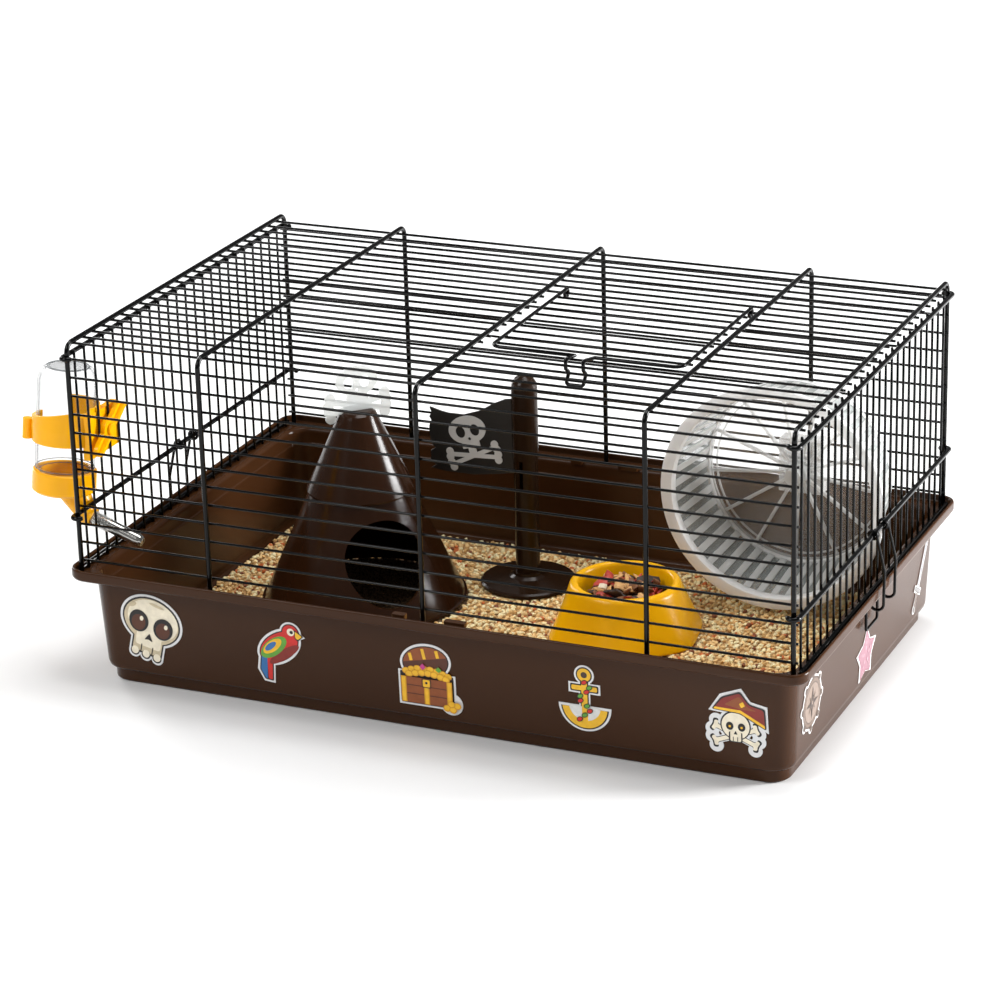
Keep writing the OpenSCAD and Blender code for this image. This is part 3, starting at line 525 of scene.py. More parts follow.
def clip(side, s):
    """One wire: a coil round the cross wire, a leg and a hook on each side, and the pull between them."""
    px, _, pz = at(side + "_clip_swing")
    cx = abs(px)
    cr, d, cy = 2.65, 1.8, 10.5           # coil radius, wire thickness, half the width
    turns, pitch = 1.25, 2
    hook_z, pull_z = 64.8, 46.8

    def leg(q):
        coil = []
        for left in np.linspace(turns, 0, 29):
            t = -2 * math.pi * left
            coil.append([cx + cr * math.cos(t), q * (cy - pitch * left), pz - cr * math.sin(t)])
        down = rounded([[cx + cr, q * cy, pz - 1], [cx + cr + 4.8, q * cy, 85], [cx + cr + 4.5, q * cy, 70],
                        [cx + cr + 4.5, q * cy, 67]], 14, 8)
        hook = arc([cx + cr + 0.5, q * cy, hook_z], [1, 0, 0], [0, 0, -1], 4, 0, 180, 12)
        turn = arc([cx + cr - 4.7, q * cy, hook_z], [-1, 0, 0], [0, 0, 1], 1.2, 150, 0, 7)
        return coil + down + hook + turn + [np.array([cx + cr - 5.9, q * cy, 52])]

    a, b = leg(-1), leg(1)
    x = cx + cr - 5.9
    pull = rounded([[x, -cy, 51], [x, -cy, pull_z], [x, cy, pull_z], [x, cy, 51]], 1.6, 6)
    path = [np.asarray(p) * [s, 1, 1] for p in a + pull + b[::-1]]
    name = side + "_clip"
    Mesh().add(*tube(path, d, 14)).build(name + "_wire", ["wire"], name, [name], "black_wire", 40)


clip("left", -1)
clip("right", 1)


# ---------------------------------------------------------------- bottle's thick edges
BOTTLE_LEAN = (math.radians(-6), math.radians(3))


def bottle_rings():
    """The thicker plastic at the foot and neck, which shows as grey rings."""
    lean = Matrix.Rotation(BOTTLE_LEAN[1], 4, "Y") @ Matrix.Rotation(BOTTLE_LEAN[0], 4, "X")
    axis = np.array(lean.to_3x3() @ Vector((0, 0, 1)))
    p = np.array([v.co for v in frame["nodes"]["bottle"].data.vertices]) / MM
    h = p @ axis
    end = p[h > h.max() - 0.05]
    foot = (end.min(0) + end.max(0)) / 2
    place = Matrix.Translation(foot) @ lean
    m = Mesh()
    around = np.linspace(0, 2 * math.pi, 10, endpoint=False)
    # each ring: radius, height from the foot, half its thickness
    for r, z, wire in ((12.6, -0.62, 0.5), (11.2, -0.62, 0.3), (17.5, -62.4, 0.34), (15.1, -64.6, 0.3)):
        m.add(*lathe([(r + wire * math.cos(a), z + wire * math.sin(a)) for a in around], 96, place))
    m.build("bottle_rings", ["rim"], "cage", (), "clear_plastic", 40)
    for n in ("bottle", "tube_sleeve"):
        frame["nodes"][n].visible_shadow = False


bottle_rings()

# ---------------------------------------------------------------- bedding
BO0, BO1 = mm("bowl")
BC = (BO0 + BO1) / 2
MF0, MF1 = mm("mast_foot")
MFC = (MF0 + MF1) / 2
HB0, HB1 = mm("house_base")
HC = (HB0 + HB1) / 2
HR = (HB1[0] - HB0[0]) / 2
BE0, BE1 = mm("bedding")
BED_Z, FLAT_Z = 10.6, 10.1      # the bedding's mean height, and where a piece stands on it
CAP_Z = 10.95                   # no chip is higher than this beside or under a piece
BOWL_R, MAST_R = 49, 31
# material slot of the painted shade inside the house
PAINTED_SHADE_SLOT = 6


def level(x, y):
    """Height of the bedding's surface; flat where a piece stands on it."""
    h = BED_Z + 1.3 * noise.noise(Vector((x / 34, y / 34, 0.3)))
    h = h + 0.5 * noise.noise(Vector((x / 11, y / 11, 4)))
    for c, r in ((BC, BOWL_R), (MFC, MAST_R), (HC, HR + 1)):
        d = math.hypot(x - c[0], y - c[1])
        if d < r:
            return FLAT_Z
        if d < r + 6:
            k = (d - r) / 6
            h = (10.5 * (1 - k) + h * k)
    return h


def bedding():
    """A bumpy sheet with loose chips of five tints lying on it; inside the house and at its foot, sheet and
    chips are painted dark as painted shade.
    """
    m = Mesh()
    x0, x1, y0, y1 = BE0[0] + 1.2, BE1[0] - 1.2, BE0[1] + 1.2, BE1[1] - 1.2
    nx, ny = 150, 92
    v, f = [], []
    for i in range(nx):
        for j in range(ny):
            x, y = x0 + (x1 - x0) * i / (nx - 1), y0 + (y1 - y0) * j / (ny - 1)
            e = min(x - x0, x1 - x, y - y0, y1 - y)
            v.append([x, y, min(10.8, level(x, y) - 0.9) if e > 0.5 else 3.2])
    f = [(i * ny + j, (i + 1) * ny + j, (i + 1) * ny + j + 1, i * ny + j + 1)
         for i in range(nx - 1) for j in range(ny - 1)]
    # the sheet's colour, darker than most chips, is painted shade in the gaps between them
    m.add(v, f)
    # the sheet under the house takes the painted shade
    m.m = [PAINTED_SHADE_SLOT if math.hypot(v[q[0]][0] - HC[0], v[q[0]][1] - HC[1]) < HR else 0 for q in f]
    # every chip is an icosahedron with its corners moved at random
    phi = (1 + 5 ** 0.5) / 2
    ico = np.array([[-1, phi, 0], [1, phi, 0], [-1, -phi, 0], [1, -phi, 0],
                    [0, -1, phi], [0, 1, phi], [0, -1, -phi], [0, 1, -phi],
                    [phi, 0, -1], [phi, 0, 1], [-phi, 0, -1], [-phi, 0, 1]]) / 1.902
    tri = [(0, 11, 5), (0, 5, 1), (0, 1, 7), (0, 7, 10), (0, 10, 11),
           (1, 5, 9), (5, 11, 4), (11, 10, 2), (10, 7, 6), (7, 1, 8),
           (3, 9, 4), (3, 4, 2), (3, 2, 6), (3, 6, 8), (3, 8, 9),
           (4, 9, 5), (2, 4, 11), (6, 2, 10), (8, 6, 7), (9, 8, 1)]
    rng = np.random.default_rng(5)
    step, half = 2.8, 1.4
    for x in np.arange(x0 + 1, x1 - 1, step):
        for y in np.arange(y0 + 1, y1 - 1, step):
            px, py = x + rng.uniform(-half, half), y + rng.uniform(-half, half)
            px, py = min(max(px, x0 + half), x1 - half), min(max(py, y0 + half), y1 - half)
            s = rng.uniform(1.1, 2.05) * np.array([1, rng.uniform(0.6, 0.95), rng.uniform(0.5, 0.85)])
            q = Matrix.Rotation(rng.uniform(0, 6.28), 3, "Z") @ Matrix.Rotation(rng.normal(0, 0.45), 3, "X")
            p = (ico * (1 + rng.uniform(-0.28, 0.28, (12, 1)))) * s @ np.array(q).T
            z = level(px, py) + rng.uniform(-0.5, 0.5)
            near = [math.hypot(px - c[0], py - c[1]) for c in (BC, MFC, HC)]
            if near[0] < BOWL_R + 0.5 or near[1] < MAST_R + 1 or near[2] < HR + 2.5:
                z = min(z, CAP_Z - p[:, 2].max())
            u = rng.random()
            slot = 1 if u < 0.42 else 2 if u < 0.78 else 3 if u < 0.92 else 4 if u < 0.965 else 5
            # chips inside the house take the painted shade, and chips at the foot of its wall a painted
            # contact shadow
            m.add(p + [px, py, z], tri, PAINTED_SHADE_SLOT if near[2] < HR + 0.6 else slot)
    m.build("bedding_granules", ["bed", "cob1", "cob2", "cob3", "cob4", "cob5", "shade"], "cage",
            ["bedding"], "bedding", flat=True)


bedding()


# ---------------------------------------------------------------- bowl and food
BOWL_X, BOWL_Y = 60, 20.5


def bowl():
    """A six-sided foot that turns round towards the rim, with a round dish inside."""
    n, turn, h = 180, math.radians(11), BO1[2] - BO0[2]
    flat, corner, rim = 45.2, 48.6, 33.6      # the foot's flats and corners and the rim, as radii
    blend = 1.1

    def side(a):
        """Radius of the foot's hexagon with its corners cut round."""
        b = (math.degrees(a) + 30) % 60 - 30
        u, w = flat / math.cos(math.radians(b)), corner
        return -blend * math.log(math.exp(-u / blend) + math.exp(-w / blend))

    def out(a, t):
        w = (1 - t) ** 1.15
        return rim * (1 - w) + side(a) * w

    rings = []
    ang = np.linspace(0, 2 * math.pi, n, endpoint=False)
    # outside: share of the height, how far the wall is cut back
    for t, dr in ((0, 0.5), (0.012, 0.1), (0.03, 0), (0.12, 0), (0.25, 0), (0.4, 0), (0.55, 0), (0.7, 0),
                  (0.82, 0), (0.9, 0), (0.945, 0.15), (0.975, 0.6), (0.992, 1.3), (1, 2.1)):
        rings.append(circle(np.array([out(a, t) - dr for a in ang]), t * h, n))
    # inside: radius, height
    for r, z in ((30.2, h), (29.4, h - 0.2), (28.8, h - 0.9), (28.3, h - 2.4), (27.4, 22), (25.8, 16),
                 (24.2, 11.8), (22, 8.8), (18.8, 6.6), (15, 5.4)):
        rings.append(circle(r, z, n))
    v, f = loft(rings)
    c, s = math.cos(turn), math.sin(turn)
    v = v @ np.array([[c, s, 0], [-s, c, 0], [0, 0, 1]]) + [BOWL_X, BOWL_Y, BO0[2]]
    Mesh().add(v, f).build("bowl_shell", ["yellow"], "bowl", ["bowl"], "yellow_plastic", 50)


def food():
    """A dark heap under curled flakes and grains; the fifth kind is a small white block."""
    cx, cy, z0 = BOWL_X, BOWL_Y, BO0[2]
    block, lim = 4, 27.2          # the kind that is a block, and the dish's radius at the food
    m = Mesh()
    rng = np.random.default_rng(8)
    top = z0 + 24
    heap = ((20, z0 + 8), (25.4, z0 + 16), (26.4, top - 3), (20, top), (10, top + 2), (1, top + 2.6))
    m.add(*loft([circle(r, z, 40, cx, cy) for r, z in heap]), 3)
    for _ in range(84):
        r = 22.5 * math.sqrt(rng.random())
        t = rng.uniform(0, 6.283)
        kind = rng.choice(5, p=[0.3, 0.26, 0.27, 0.15, 0.02])
        size = rng.uniform(3.6, 7.4) if r < 17 else rng.uniform(3.2, 4.8)
        dims = np.array([size, size * rng.uniform(0.45, 0.85), size * rng.uniform(0.1, 0.34)])
        zc = top + 1.4 + 5.5 * (1 - (r / 26) ** 2) * rng.random() ** 0.6
        rot = Matrix.Rotation(rng.uniform(0, 6.28), 3, "Z") @ Matrix.Rotation(rng.normal(0, 0.7), 3, "X") \
            @ Matrix.Rotation(rng.normal(0, 0.5), 3, "Y")
        if kind == block:
            dims = np.array([2.6, 2.6, 2.4])
        rings = []
        lobes, bend, ph = rng.integers(2, 5), rng.uniform(-0.5, 0.5), rng.uniform(0, 6.28)
        for w in np.linspace(-1, 1, 7):
            k = math.sqrt(max(0.02, 1 - w * w)) if kind != block else (0.9 if abs(w) > 0.9 else 1)
            b = np.linspace(0, 2 * math.pi, 14, endpoint=False)
            e = 0.35 if kind == block else 1
            x = np.sign(np.cos(b)) * np.abs(np.cos(b)) ** e
            y = np.sign(np.sin(b)) * np.abs(np.sin(b)) ** e
            ripple = 0.2 * np.sin(lobes * b + ph + w) + 0.08 * np.sin(5 * b + ph * 3)
            rip = 1 + (ripple if kind != block else 0)
            q = np.column_stack([x * k * rip * dims[0], y * k * rip * dims[1], np.full(14, w * dims[2])])
            q[:, 2] += bend * (q[:, 0] ** 2 / dims[0]) * (0 if kind == block else 0.6)
            rings.append(q)
        v, f = loft(rings)
        v = v @ np.array(rot).T + [cx + r * math.cos(t), cy + r * math.sin(t), zc]
        rr = np.hypot(v[:, 0] - cx, v[:, 1] - cy)
        k = np.where(rr > lim, lim / np.maximum(rr, 1e-6), 1)
        v[:, 0] = cx + (v[:, 0] - cx) * k
        v[:, 1] = cy + (v[:, 1] - cy) * k
        m.add(v, f, int(kind))
    m.build("food_mix", ["red", "rust", "oat", "dark", "white"], "bowl", ["food"], "food", 50)


bowl()
food()


# ---------------------------------------------------------------- wheel
W0, W1 = mm("wheel_drum")
WHEEL_R, WHEEL_W = (W1[2] - W0[2]) / 2, W1[1] - W0[1]
DRUM_R, DRUM_BACK_R, DRUM_T = WHEEL_R - 6.9, 57.8, 1.6
SLATS, SPOKES = 44, 13
AXLE_X, _, AXLE_Z = at("wheel_spin")
WHEEL_AT = Matrix.Translation((AXLE_X, W0[1], AXLE_Z)) @ Matrix.Rotation(-math.pi / 2, 4, "X")


def dr(y):
    """Inner radius of the tapered drum at distance y from its open side."""
    return DRUM_R + (DRUM_BACK_R - DRUM_R) * y / WHEEL_W


def turn(profile, r=0.35):
    """Turned part of the wheel from an outline of (radius, distance from the open side)."""
    return lathe([tuple(q) for q in soften(profile, r, 3)], 192, WHEEL_AT)


def spun(q, a):
    """A section's point (radial, round) carried to angle a."""
    return [q[0] * math.cos(a) - q[1] * math.sin(a), q[0] * math.sin(a) + q[1] * math.cos(a)]


def wheel_drum():
    R, width, r_in, t = WHEEL_R, WHEEL_W, DRUM_R, DRUM_T
    m = Mesh()
    flange = [(r_in, 0), (R, 0), (R, 3), (R - 1.4, 3), (R - 1.4, 1.5), (r_in + t, 1.5), (dr(6) + t, 6),
              (dr(6), 6)]
    m.add(*turn(flange), 0)
    end = width - 3
    m.add(*turn([(dr(end), end), (dr(end) + t, end), (dr(width) + t, width), (dr(width), width)]), 0)
    end = width - 2
    m.add(*turn([(dr(5) + 0.9, 5), (dr(5) + 1.3, 5), (dr(end) + 1.3, end), (dr(end) + 0.9, end)], 0.1), 2)
    half = math.pi * dr(width / 2) / SLATS / 2
    for k in range(SLATS):
        a = 2 * math.pi * k / SLATS
        box = []
        for y in (5.4, width - 2.6):
            r0, r1 = dr(y) + 0.1, dr(y) + t - 0.1
            sec = soften([(r0, -half), (r1, -half), (r1, half), (r0, half)], 0.35, 2)
            box.append(np.array([[*spun(q, a), y] for q in sec]))
        v, f = loft(box)
        m.add(spot(WHEEL_AT, v), f, 1)
    m.build("wheel_drum_shell", ["drum", "slat", "pane"], "wheel", ["wheel_drum"], "wheel_plastic", 40)


def wheel_disc():
    """The closed side: a thin pane with a rim, a ring, a hub and spokes."""
    width, hub_r = WHEEL_W, 6.2
    m = Mesh()
    rb = dr(width) + DRUM_T
    pane = [(3.2, width + 0.5), (rb - 0.6, width + 0.5), (rb - 0.6, width + 1.5), (3.2, width + 1.5)]
    m.add(*turn(pane), 0)
    for r0, r1, y0, y1 in ((rb - 2.6, rb, 0.02, 1.8), (rb - 6.4, rb - 5.2, -0.2, 0.8)):
        m.add(*turn([(r0, width + y0), (r1, width + y0), (r1, width + y1), (r0, width + y1)]), 1)
    hub = [(2.56, width - 7), (hub_r, width - 7), (7, width - 6), (7, width + 1.8), (2.56, width + 1.8)]
    m.add(*turn(hub), 1)
    spoke = [(-0.9, width - 1.8), (0.9, width - 1.8), (0.9, width + 0.8), (-0.9, width + 0.8)]
    for k in range(SPOKES):
        a = 2 * math.pi * (k + 0.3) / SPOKES
        box = [np.array([[*spun((r, q[0]), a), q[1]] for q in soften(spoke, 0.35, 2)])
               for r in (hub_r, rb - 2.2)]
        v, f = loft(box)
        m.add(spot(WHEEL_AT, v), f, 1)
    m.build("wheel_disc_shell", ["disc", "rib"], "wheel", ["wheel_disc"], "wheel_plastic", 40)


wheel_drum()
wheel_disc()


# ---------------------------------------------------------------- stickers' print
def ell(cx, cy, rx, ry=None, rot=0, n=36):
    """An ellipse or circle, turned by rot degrees."""
    ry = rx if ry is None else ry
    t = np.linspace(0, 2 * math.pi, n, endpoint=False)
    c, s = math.cos(math.radians(rot)), math.sin(math.radians(rot))
    x, y = rx * np.cos(t), ry * np.sin(t)
    return [(cx + a * c - b * s, cy + a * s + b * c) for a, b in zip(x, y)]


def rect(x0, y0, x1, y1, r=0):
    p = [(x0, y0), (x1, y0), (x1, y1), (x0, y1)]
    return [tuple(q) for q in soften(p, r, 4)] if r else p


def turned(p, a, dx=0, dy=0):
    """An outline turned by a degrees and then moved."""
    c, s = math.cos(math.radians(a)), math.sin(math.radians(a))
    return [(x * c - y * s + dx, x * s + y * c + dy) for x, y in p]


def smooth(p, r):
    return [tuple(q) for q in soften(p, r, 4)]


def bone(l, r, a, dx=0, dy=0):
    """A bone of length l with two knobs at each end."""
    end = [(0, -r * .7), (r * .2, -r * 1.9), (r * 1.5, -r * 1.5), (r * 1.1, 0), (r * 1.5, r * 1.5),
           (r * .2, r * 1.9), (0, r * .7)]
    p = [(-l / 2, -r * .7)] + [(l / 2 + x, y) for x, y in end] + [(-l / 2 - x, y) for x, y in end[:0:-1]]
    return turned(smooth(p, r * 0.9), a, dx, dy)


def on_wall(side, u, z):
    """Matrix from a sticker's own plane to the tray's tapered front or right wall, in mm."""
    tilt = math.radians(2.65)
    inset = WALL_IN + WALL_TAPER * (WALL_TOP - z) / WALL_H
    if side == "front":
        return Matrix.Translation((u, -RIM_W / 2 + inset, z)) @ Matrix.Rotation(math.pi / 2 + tilt, 4, "X")
    return Matrix.Translation((RIM_L / 2 - inset, u, z)) @ Matrix.Rotation(math.pi / 2, 4, "Z") \
        @ Matrix.Rotation(math.pi / 2 + tilt, 4, "X")


def printed(name, place, shapes, lift=0.43):
    """Thin layers of ink, each a colour and an outline, and each a little above the last."""
    m = Mesh()
    colours = []
    for i, (rgb, outline) in enumerate(shapes):
        if rgb not in colours:
            colours.append(rgb)
        h = lift + 0.022 * (i + 1)
        lo = h - 0.02
        pts = [Vector((x, y, 0)) for x, y in outline]
        tris = tessellate_polygon([pts])
        k = len(pts)
        v = [place @ Vector((p.x, p.y, h)) for p in pts] + [place @ Vector((p.x, p.y, lo)) for p in pts]
        area = sum(pts[i].x * pts[(i + 1) % k].y - pts[(i + 1) % k].x * pts[i].y for i in range(k))
        f = []
        for a, b, c in tris:
            cr = (pts[b] - pts[a]).cross(pts[c] - pts[a]).z
            f.append((a, b, c) if cr > 0 else (a, c, b))
        ring = range(k) if area > 0 else range(k - 1, -1, -1)
        f += [(ring[j] + k, ring[(j + 1) % k] + k, ring[(j + 1) % k], ring[j]) for j in range(k)]
        f += [tuple(q + k for q in (a, c, b)) for a, b, c in f[:len(tris)]]
        m.add(v, f, colours.index(rgb))
    return m.build(name, [ink(c) for c in colours], "cage", (), "sticker_print", 30)


INK, CREAM, SHADE = (28, 24, 24), (240, 230, 206), (205, 190, 158)
RED, DRED, GREEN, BLUE = (206, 40, 34), (132, 40, 30), (96, 160, 56), (50, 110, 170)
GOLD, DGOLD = (240, 186, 40), (214, 150, 26)
BROWN, DBROWN = (140, 74, 34), (84, 42, 22)


def print_skull():
    t = lambda p: turned(p, -14)
    s = [(INK, t(ell(0, 5, 19.3, 15.6))), (INK, t(rect(-10.4, -18, 10.4, -2, 2))),
         (SHADE, t(ell(0, 4.8, 18.2, 14.6))), (SHADE, t(rect(-9.4, -17, 9.4, -2, 2))),
         (CREAM, t(ell(0.8, 6, 16.8, 13))), (CREAM, t(rect(-8.2, -13, 8.6, -4, 2)))]
    for x in (-7.4, 0, 7.4):
        s += [(INK, t(ell(x, -18.2, 3, 2.9))), (CREAM, t(ell(x, -17.6, 2.4, 2.6)))]
    for x in (-3.7, 3.7):
        s += [(INK, t(rect(x - 0.3, -18, x + 0.3, -12)))]
    for x in (-8, 8.4):
        s += [(INK, t(ell(x, 2.6, 6.4, 7.2, 8 * (1 if x < 0 else -1)))), (DBROWN, t(ell(x, 1.6, 4.6, 5.2)))]
        s += [(CREAM, t(ell(x + 1.6, 4.8, 1.2, 1.6)))]
    s += [(INK, t(smooth([(0.2, -3.4), (3, -8.4), (0.2, -7.4), (-2.6, -8.4)], 0.8)))]
    s += [(SHADE, t(ell(-13.4, 12, 2.6, 1.2, 40))), (SHADE, t(ell(2, 16.4, 5, 0.9, -4)))]
    printed("print_skull", on_wall("front", -180.8, 39.5), s)


def print_bird():
    s = [(INK, turned(ell(0, 0, 14.8, 8.8), 35, -1, 4)), (INK, ell(7, 14, 5.9)),
         (INK, smooth([(-12.8, 1), (-5, -3.4), (-5.9, -18.8), (-11.4, -18.2), (-14.6, -12)], 1)),
         (RED, turned(ell(0, 0, 14.1, 8.1), 35, -1, 4)), (RED, ell(7, 14, 5.2)),
         (BLUE, smooth([(-12.2, 0), (-9, -2.4), (-9.8, -17.6), (-11, -17.4), (-13.8, -12)], 0.8)),
         (RED, smooth([(-9.2, -2), (-5.6, -3.6), (-6.6, -18), (-9.2, -17.6)], 0.8)),
         (DRED, turned(ell(0, 0, 12, 3), 35, 2.2, -0.4)),
         (GREEN, turned(ell(0, 0, 10.6, 4.8), 40, -4.4, 3.4)),
         (GOLD, turned(ell(0, 0, 7.6, 3.2), 40, -5.2, 4)),
         (BLUE, turned(ell(0, 0, 4.6, 1.8), 40, -6.4, 3.8)),
         (INK, smooth([(9.6, 16.6), (15.6, 13), (11.8, 9.4), (9.8, 11)], 1)),
         (GOLD, smooth([(10.2, 15.8), (14.8, 12.8), (11.6, 10.4), (10.2, 11.8)], 1)),
         (CREAM, ell(7.4, 14.8, 2.4)), (INK, ell(7.9, 14.8, 1.1))]
    printed("print_bird", on_wall("front", -94.4, 36.4), s)


def coins(places, r):
    s = []
    for x, y in places:
        s += [(DGOLD, ell(x, y, *r, 0, 18)), (GOLD, ell(x, y + 0.2, r[0] - 0.6, r[1] - 0.6, 0, 18))]
    return s


def print_chest():
    lid = lambda p: turned(p, 12, -2.45, 10.4)
    s = [(INK, lid(ell(0, 0, 14.9, 10.3))), (DBROWN, lid(ell(0, 0, 14.2, 9.6))),
         (BROWN, lid([(x, y) for x, y in ell(0, 0, 14.2, 9.6) if y > 1.4]))]
    for k in (-8.6, 0, 8.6):
        s += [(GOLD, lid(rect(k - 1, 2, k + 1, 8.6 - abs(k) * 0.22)))]
    s += [(INK, rect(-18.8, -16.8, 14.8, 3.4, 1))]
    s += coins(((-15, 3.6), (-11.4, 5), (-7.6, 6), (-3.6, 6.4), (0.6, 6.2), (4.6, 5.6), (8.4, 4.6),
                (11.6, 3.4), (-13, 2), (-9, 3), (-5, 3.6), (-1, 3.8), (3, 3.4), (7, 2.6), (10.4, 1.6)),
               (2.5, 2.1))
    s += [((190, 60, 130), smooth([(-6, 7.6), (-4, 10), (-2, 7.6), (-4, 5.6)], 0.5)),
          (GREEN, smooth([(4, 7), (6, 9), (8, 7), (6, 5.4)], 0.5))]
    s += [(BROWN, rect(-18, -16, 14, 0.4, 0.8))]
    for y in (-4.8, -10.2):
        s += [(DBROWN, rect(-17.6, y - 0.3, 13.6, y + 0.3))]
    for x in (-16.4, -2, 12.4):
        s += [(DGOLD, rect(x - 1.7, -16, x + 1.7, 0.4)), (GOLD, rect(x - 1, -15.6, x + 1, 0))]
    s += [(DBROWN, rect(-5, -5.4, 1, 0.6, 0.8)), (GOLD, rect(-4.2, -4.8, 0.2, -0.2, 0.8)),
          (INK, ell(-2, -2.2, 0.8))]
    s += coins(((10.4, -16.4), (14.2, -17), (17, -14.2), (13.4, -13.6)), (2.4, 2.2))
    printed("print_chest", on_wall("front", 1.1, 34.4), s)


def print_anchor():
    low = [(x, y) for x, y in ell(0, -4.8, 14.6, 14.6, 0, 72) if y <= -5.2]
    s = [(INK, ell(0, 14.6, 4.9)), (INK, rect(-2.5, -15.6, 2.5, 12, 0.8)), (INK, rect(-8.6, 4, 8.6, 8.6, 1)),
         (INK, low), (GOLD, ell(0, 14.6, 4.1)), ((66, 47, 38), ell(0, 14.6, 1.9)),
         (GOLD, rect(-1.8, -15.2, 1.8, 11.6, 0.8)),
         (GOLD, rect(-7.8, 4.8, 7.8, 7.8, 1)), (GOLD, [(x * 0.94, y * 0.94 - 0.4) for x, y in low]),
         ((222, 222, 220), [(x * 0.66, min(y * 0.66 - 1.2, -5.2)) for x, y in low]),
         (GOLD, rect(-1.8, -15.2, 1.8, 0, 0.8))]
    for i in range(9):
        y = 10 - 2.9 * i
        x = 3.2 * math.sin(i * 1.35)
        s += [(INK, ell(x, y, 2.1, 1.5, 30, 18)), (GREEN if i % 2 else RED, ell(x, y, 1.6, 1.05, 30, 18))]
    printed("print_anchor", on_wall("front", 96.9, 37.5), s)


def print_hat():
    s = []
    for a in (22, -22):
        s += [(INK, bone(24, 2.4, a, -3, -9)), (CREAM, bone(23.6, 1.8, a, -3, -9))]
    s += [(INK, ell(-3, -3, 9)), (CREAM, ell(-3, -3.2, 8.2)), (INK, rect(-7, -13.4, 1, -7, 1)),
          (CREAM, rect(-6.2, -12.8, 0.2, -6.6, 1))]
    for x in (-6.4, 0.6):
        s += [(INK, ell(x, -3.6, 2.2, 2.5)), (GOLD, ell(x, -3.8, 0.7))]
    s += [(INK, smooth([(-3, -6.2), (-1.8, -8.4), (-4.2, -8.4)], 0.4))]
    for x in (-4.4, -1.8):
        s += [(INK, rect(x - 0.2, -12.8, x + 0.2, -10))]
    hat = lambda p: turned(p, -14, 0, 6)
    brim = [(-16.4, -4.6), (-12.8, 4.8), (-3, 12.2), (3.8, 6.6), (13.2, 7), (17, -5.4), (0, -1.4)]
    felt = [(-15.4, -4), (-12, 4.2), (-3, 11), (3.6, 5.8), (12.6, 6), (16, -4.6), (0, -0.8)]
    s += [(INK, hat(smooth(brim, 1.6))), (DRED, hat(smooth(felt, 1.6))),
          (BROWN, hat(smooth([(-10, 1), (-3, 9), (3.4, 4.6), (9, 4), (0, 1.6)], 1.2))),
          (GOLD, hat(smooth([(-15.4, -4), (-14.8, -2.4), (0, 1), (15.4, -2.8), (16, -4.6), (0, -0.8)], 0.5))),
          (GOLD, hat(smooth([(0, 2.6), (1.8, 4.6), (0, 6.6), (-1.8, 4.6)], 0.4)))]
    printed("print_hat", on_wall("front", 190, 38), s)


def print_compass():
    line, pale = (82, 66, 56), (134, 116, 104)
    s = [(line, ell(0, 0, 15.4)), ((112, 94, 82), ell(0, 0, 14.2)), (line, ell(0, 0, 12.4)),
         (pale, ell(0, 0, 11.6))]
    for a in range(8):
        s += [(line, turned(ell(16, 0, 2), 45 * a))]
    for a, c, l in ((45, (96, 80, 68), 7.4), (0, (60, 44, 36), 10.4)):
        p = []
        for k in range(8):
            r = l if k % 2 == 0 else 2.2
            p.append((r * math.cos(math.radians(a + 45 * k)), r * math.sin(math.radians(a + 45 * k))))
        s += [(c, p)]
    s += [(pale, ell(0, 0, 1.2))]
    printed("print_compass", on_wall("right", -99.8, 38.8), s)


def print_star():
    def star(a, b):
        turns = [(1.1 * (b if k % 2 else a), math.radians(90 + 36 * k)) for k in range(10)]
        return smooth([(r * math.cos(t), r * math.sin(t)) for r, t in turns], 2.2)

    s = [((122, 70, 84), star(15.2, 9)), ((150, 108, 120), star(14, 8.2))]
    for k in range(5):
        for r in (4.5, 7.8, 10.8):
            a = math.radians(90 + 72 * k)
            s += [((176, 140, 150), ell(r * math.cos(a), r * math.sin(a), 1.5 - r * 0.07, None, 0, 16))]
    printed("print_star", on_wall("right", -0.2, 27), s)


def print_sword():
    w = lambda p: turned(p, 62)
    s = [((104, 104, 108), w(smooth([(-6, -1.5), (24, -1.5), (26.8, 0), (24, 1.5), (-6, 1.5)], 0.8))),
         ((140, 142, 148), w([(-5, 0), (25, 0), (23.6, 1.1), (-5, 1.1)])),
         ((84, 80, 80), w(rect(-10.2, -6.2, -7.2, 6.2, 1))),
         ((132, 130, 130), w(rect(-9.6, -5.6, -7.8, 5.6, 0.6))),
         ((92, 74, 62), w(rect(-19.6, -1.4, -10.2, 1.4, 0.6))),
         ((104, 100, 98), w(ell(-21, 0, 2.2)))]
    printed("print_sword", on_wall("right", 105.1, 36.3), s)


for draw in (print_skull, print_bird, print_chest, print_anchor, print_hat, print_compass, print_star,
             print_sword):
    draw()

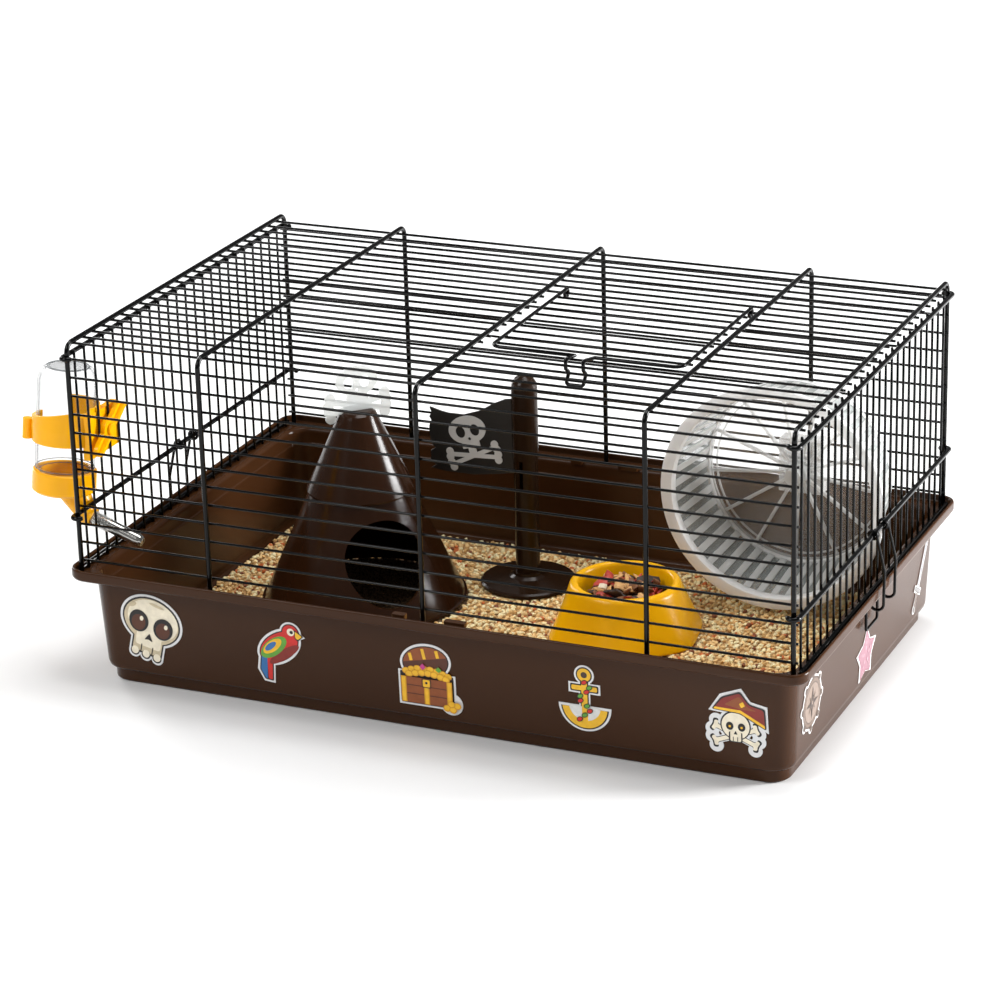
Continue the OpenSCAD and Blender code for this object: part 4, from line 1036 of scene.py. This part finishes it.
# ---------------------------------------------------------------- floor, light and camera
def floor_material():
    """Pale floor that glows gently away from the object, where the lights don't reach."""
    m = bpy.data.materials.new("floor_pale")
    m.use_nodes = True
    b = m.node_tree.nodes["Principled BSDF"]
    b.inputs["Base Color"].default_value = (0.9, 0.9, 0.9, 1)
    b.inputs["Roughness"].default_value = 0.9
    new, link = m.node_tree.nodes.new, m.node_tree.links.new
    place, reach, glow = new("ShaderNodeTexCoord"), new("ShaderNodeVectorMath"), new("ShaderNodeMapRange")
    reach.operation = "LENGTH"
    for socket, value in (("From Min", 0.9), ("From Max", 2.4), ("To Min", 0.0), ("To Max", 0.8)):
        glow.inputs[socket].default_value = value
    link(place.outputs["Object"], reach.inputs[0])
    link(reach.outputs["Value"], glow.inputs["Value"])
    link(glow.outputs["Result"], b.inputs["Emission Strength"])
    b.inputs["Emission Color"].default_value = (1, 1, 1, 1)
    return m


bpy.ops.mesh.primitive_plane_add(size=30, location=(0, 0, 0))
floor = bpy.context.object
floor.name = "floor"
floor.data.materials.append(floor_material())

world = bpy.data.worlds.new("studio")
bpy.context.scene.world = world
world.use_nodes = True
world.node_tree.nodes["Background"].inputs[0].default_value = (1, 1, 1, 1)
world.node_tree.nodes["Background"].inputs[1].default_value = 0.26


def area(name, pos, target, size, power, size_y=None):
    l = bpy.data.lights.new(name, "AREA")
    l.energy = power
    l.shape = "RECTANGLE"
    l.size, l.size_y = size, size_y or size
    o = bpy.data.objects.new(name, l)
    bpy.context.scene.collection.objects.link(o)
    o.location = pos
    o.rotation_euler = (Vector(target) - Vector(pos)).to_track_quat("-Z", "Y").to_euler()
    return o


area("key", (-1.0, -1.5, 1.7), (0, 0, 0.1), 0.9, 23)
area("side", (1.9, 0.95, 0.5), (0.2, 0, 0.08), 0.7, 100, 0.8)
area("rim", (-1.8, 1.1, 0.8), (0, 0, 0.15), 0.5, 20, 1.4)
area("top", (0.2, 0.25, 2.2), (0, 0, 0.1), 1.2, 36)

az, el, roll = (math.radians(v) for v in (23.956, 20.971, -1.516))
back = Vector((math.sin(az) * math.cos(el), -math.cos(az) * math.cos(el), math.sin(el)))
right = Vector((math.cos(az), math.sin(az), 0))
up = back.cross(right)
cam_x = math.cos(roll) * right + math.sin(roll) * up
cam_y = -math.sin(roll) * right + math.cos(roll) * up
cam_at = (0.7945, -1.816, 0.8554)
cam = bpy.data.cameras.new("camera")
cam.lens, cam.sensor_width = 127.33, 36
cam.clip_start, cam.clip_end = 0.01, 100
co = bpy.data.objects.new("camera", cam)
bpy.context.scene.collection.objects.link(co)
co.matrix_world = Matrix((*zip(cam_x, cam_y, back, cam_at), (0, 0, 0, 1)))
bpy.context.scene.camera = co
bpy.context.scene.view_settings.view_transform = "Standard"
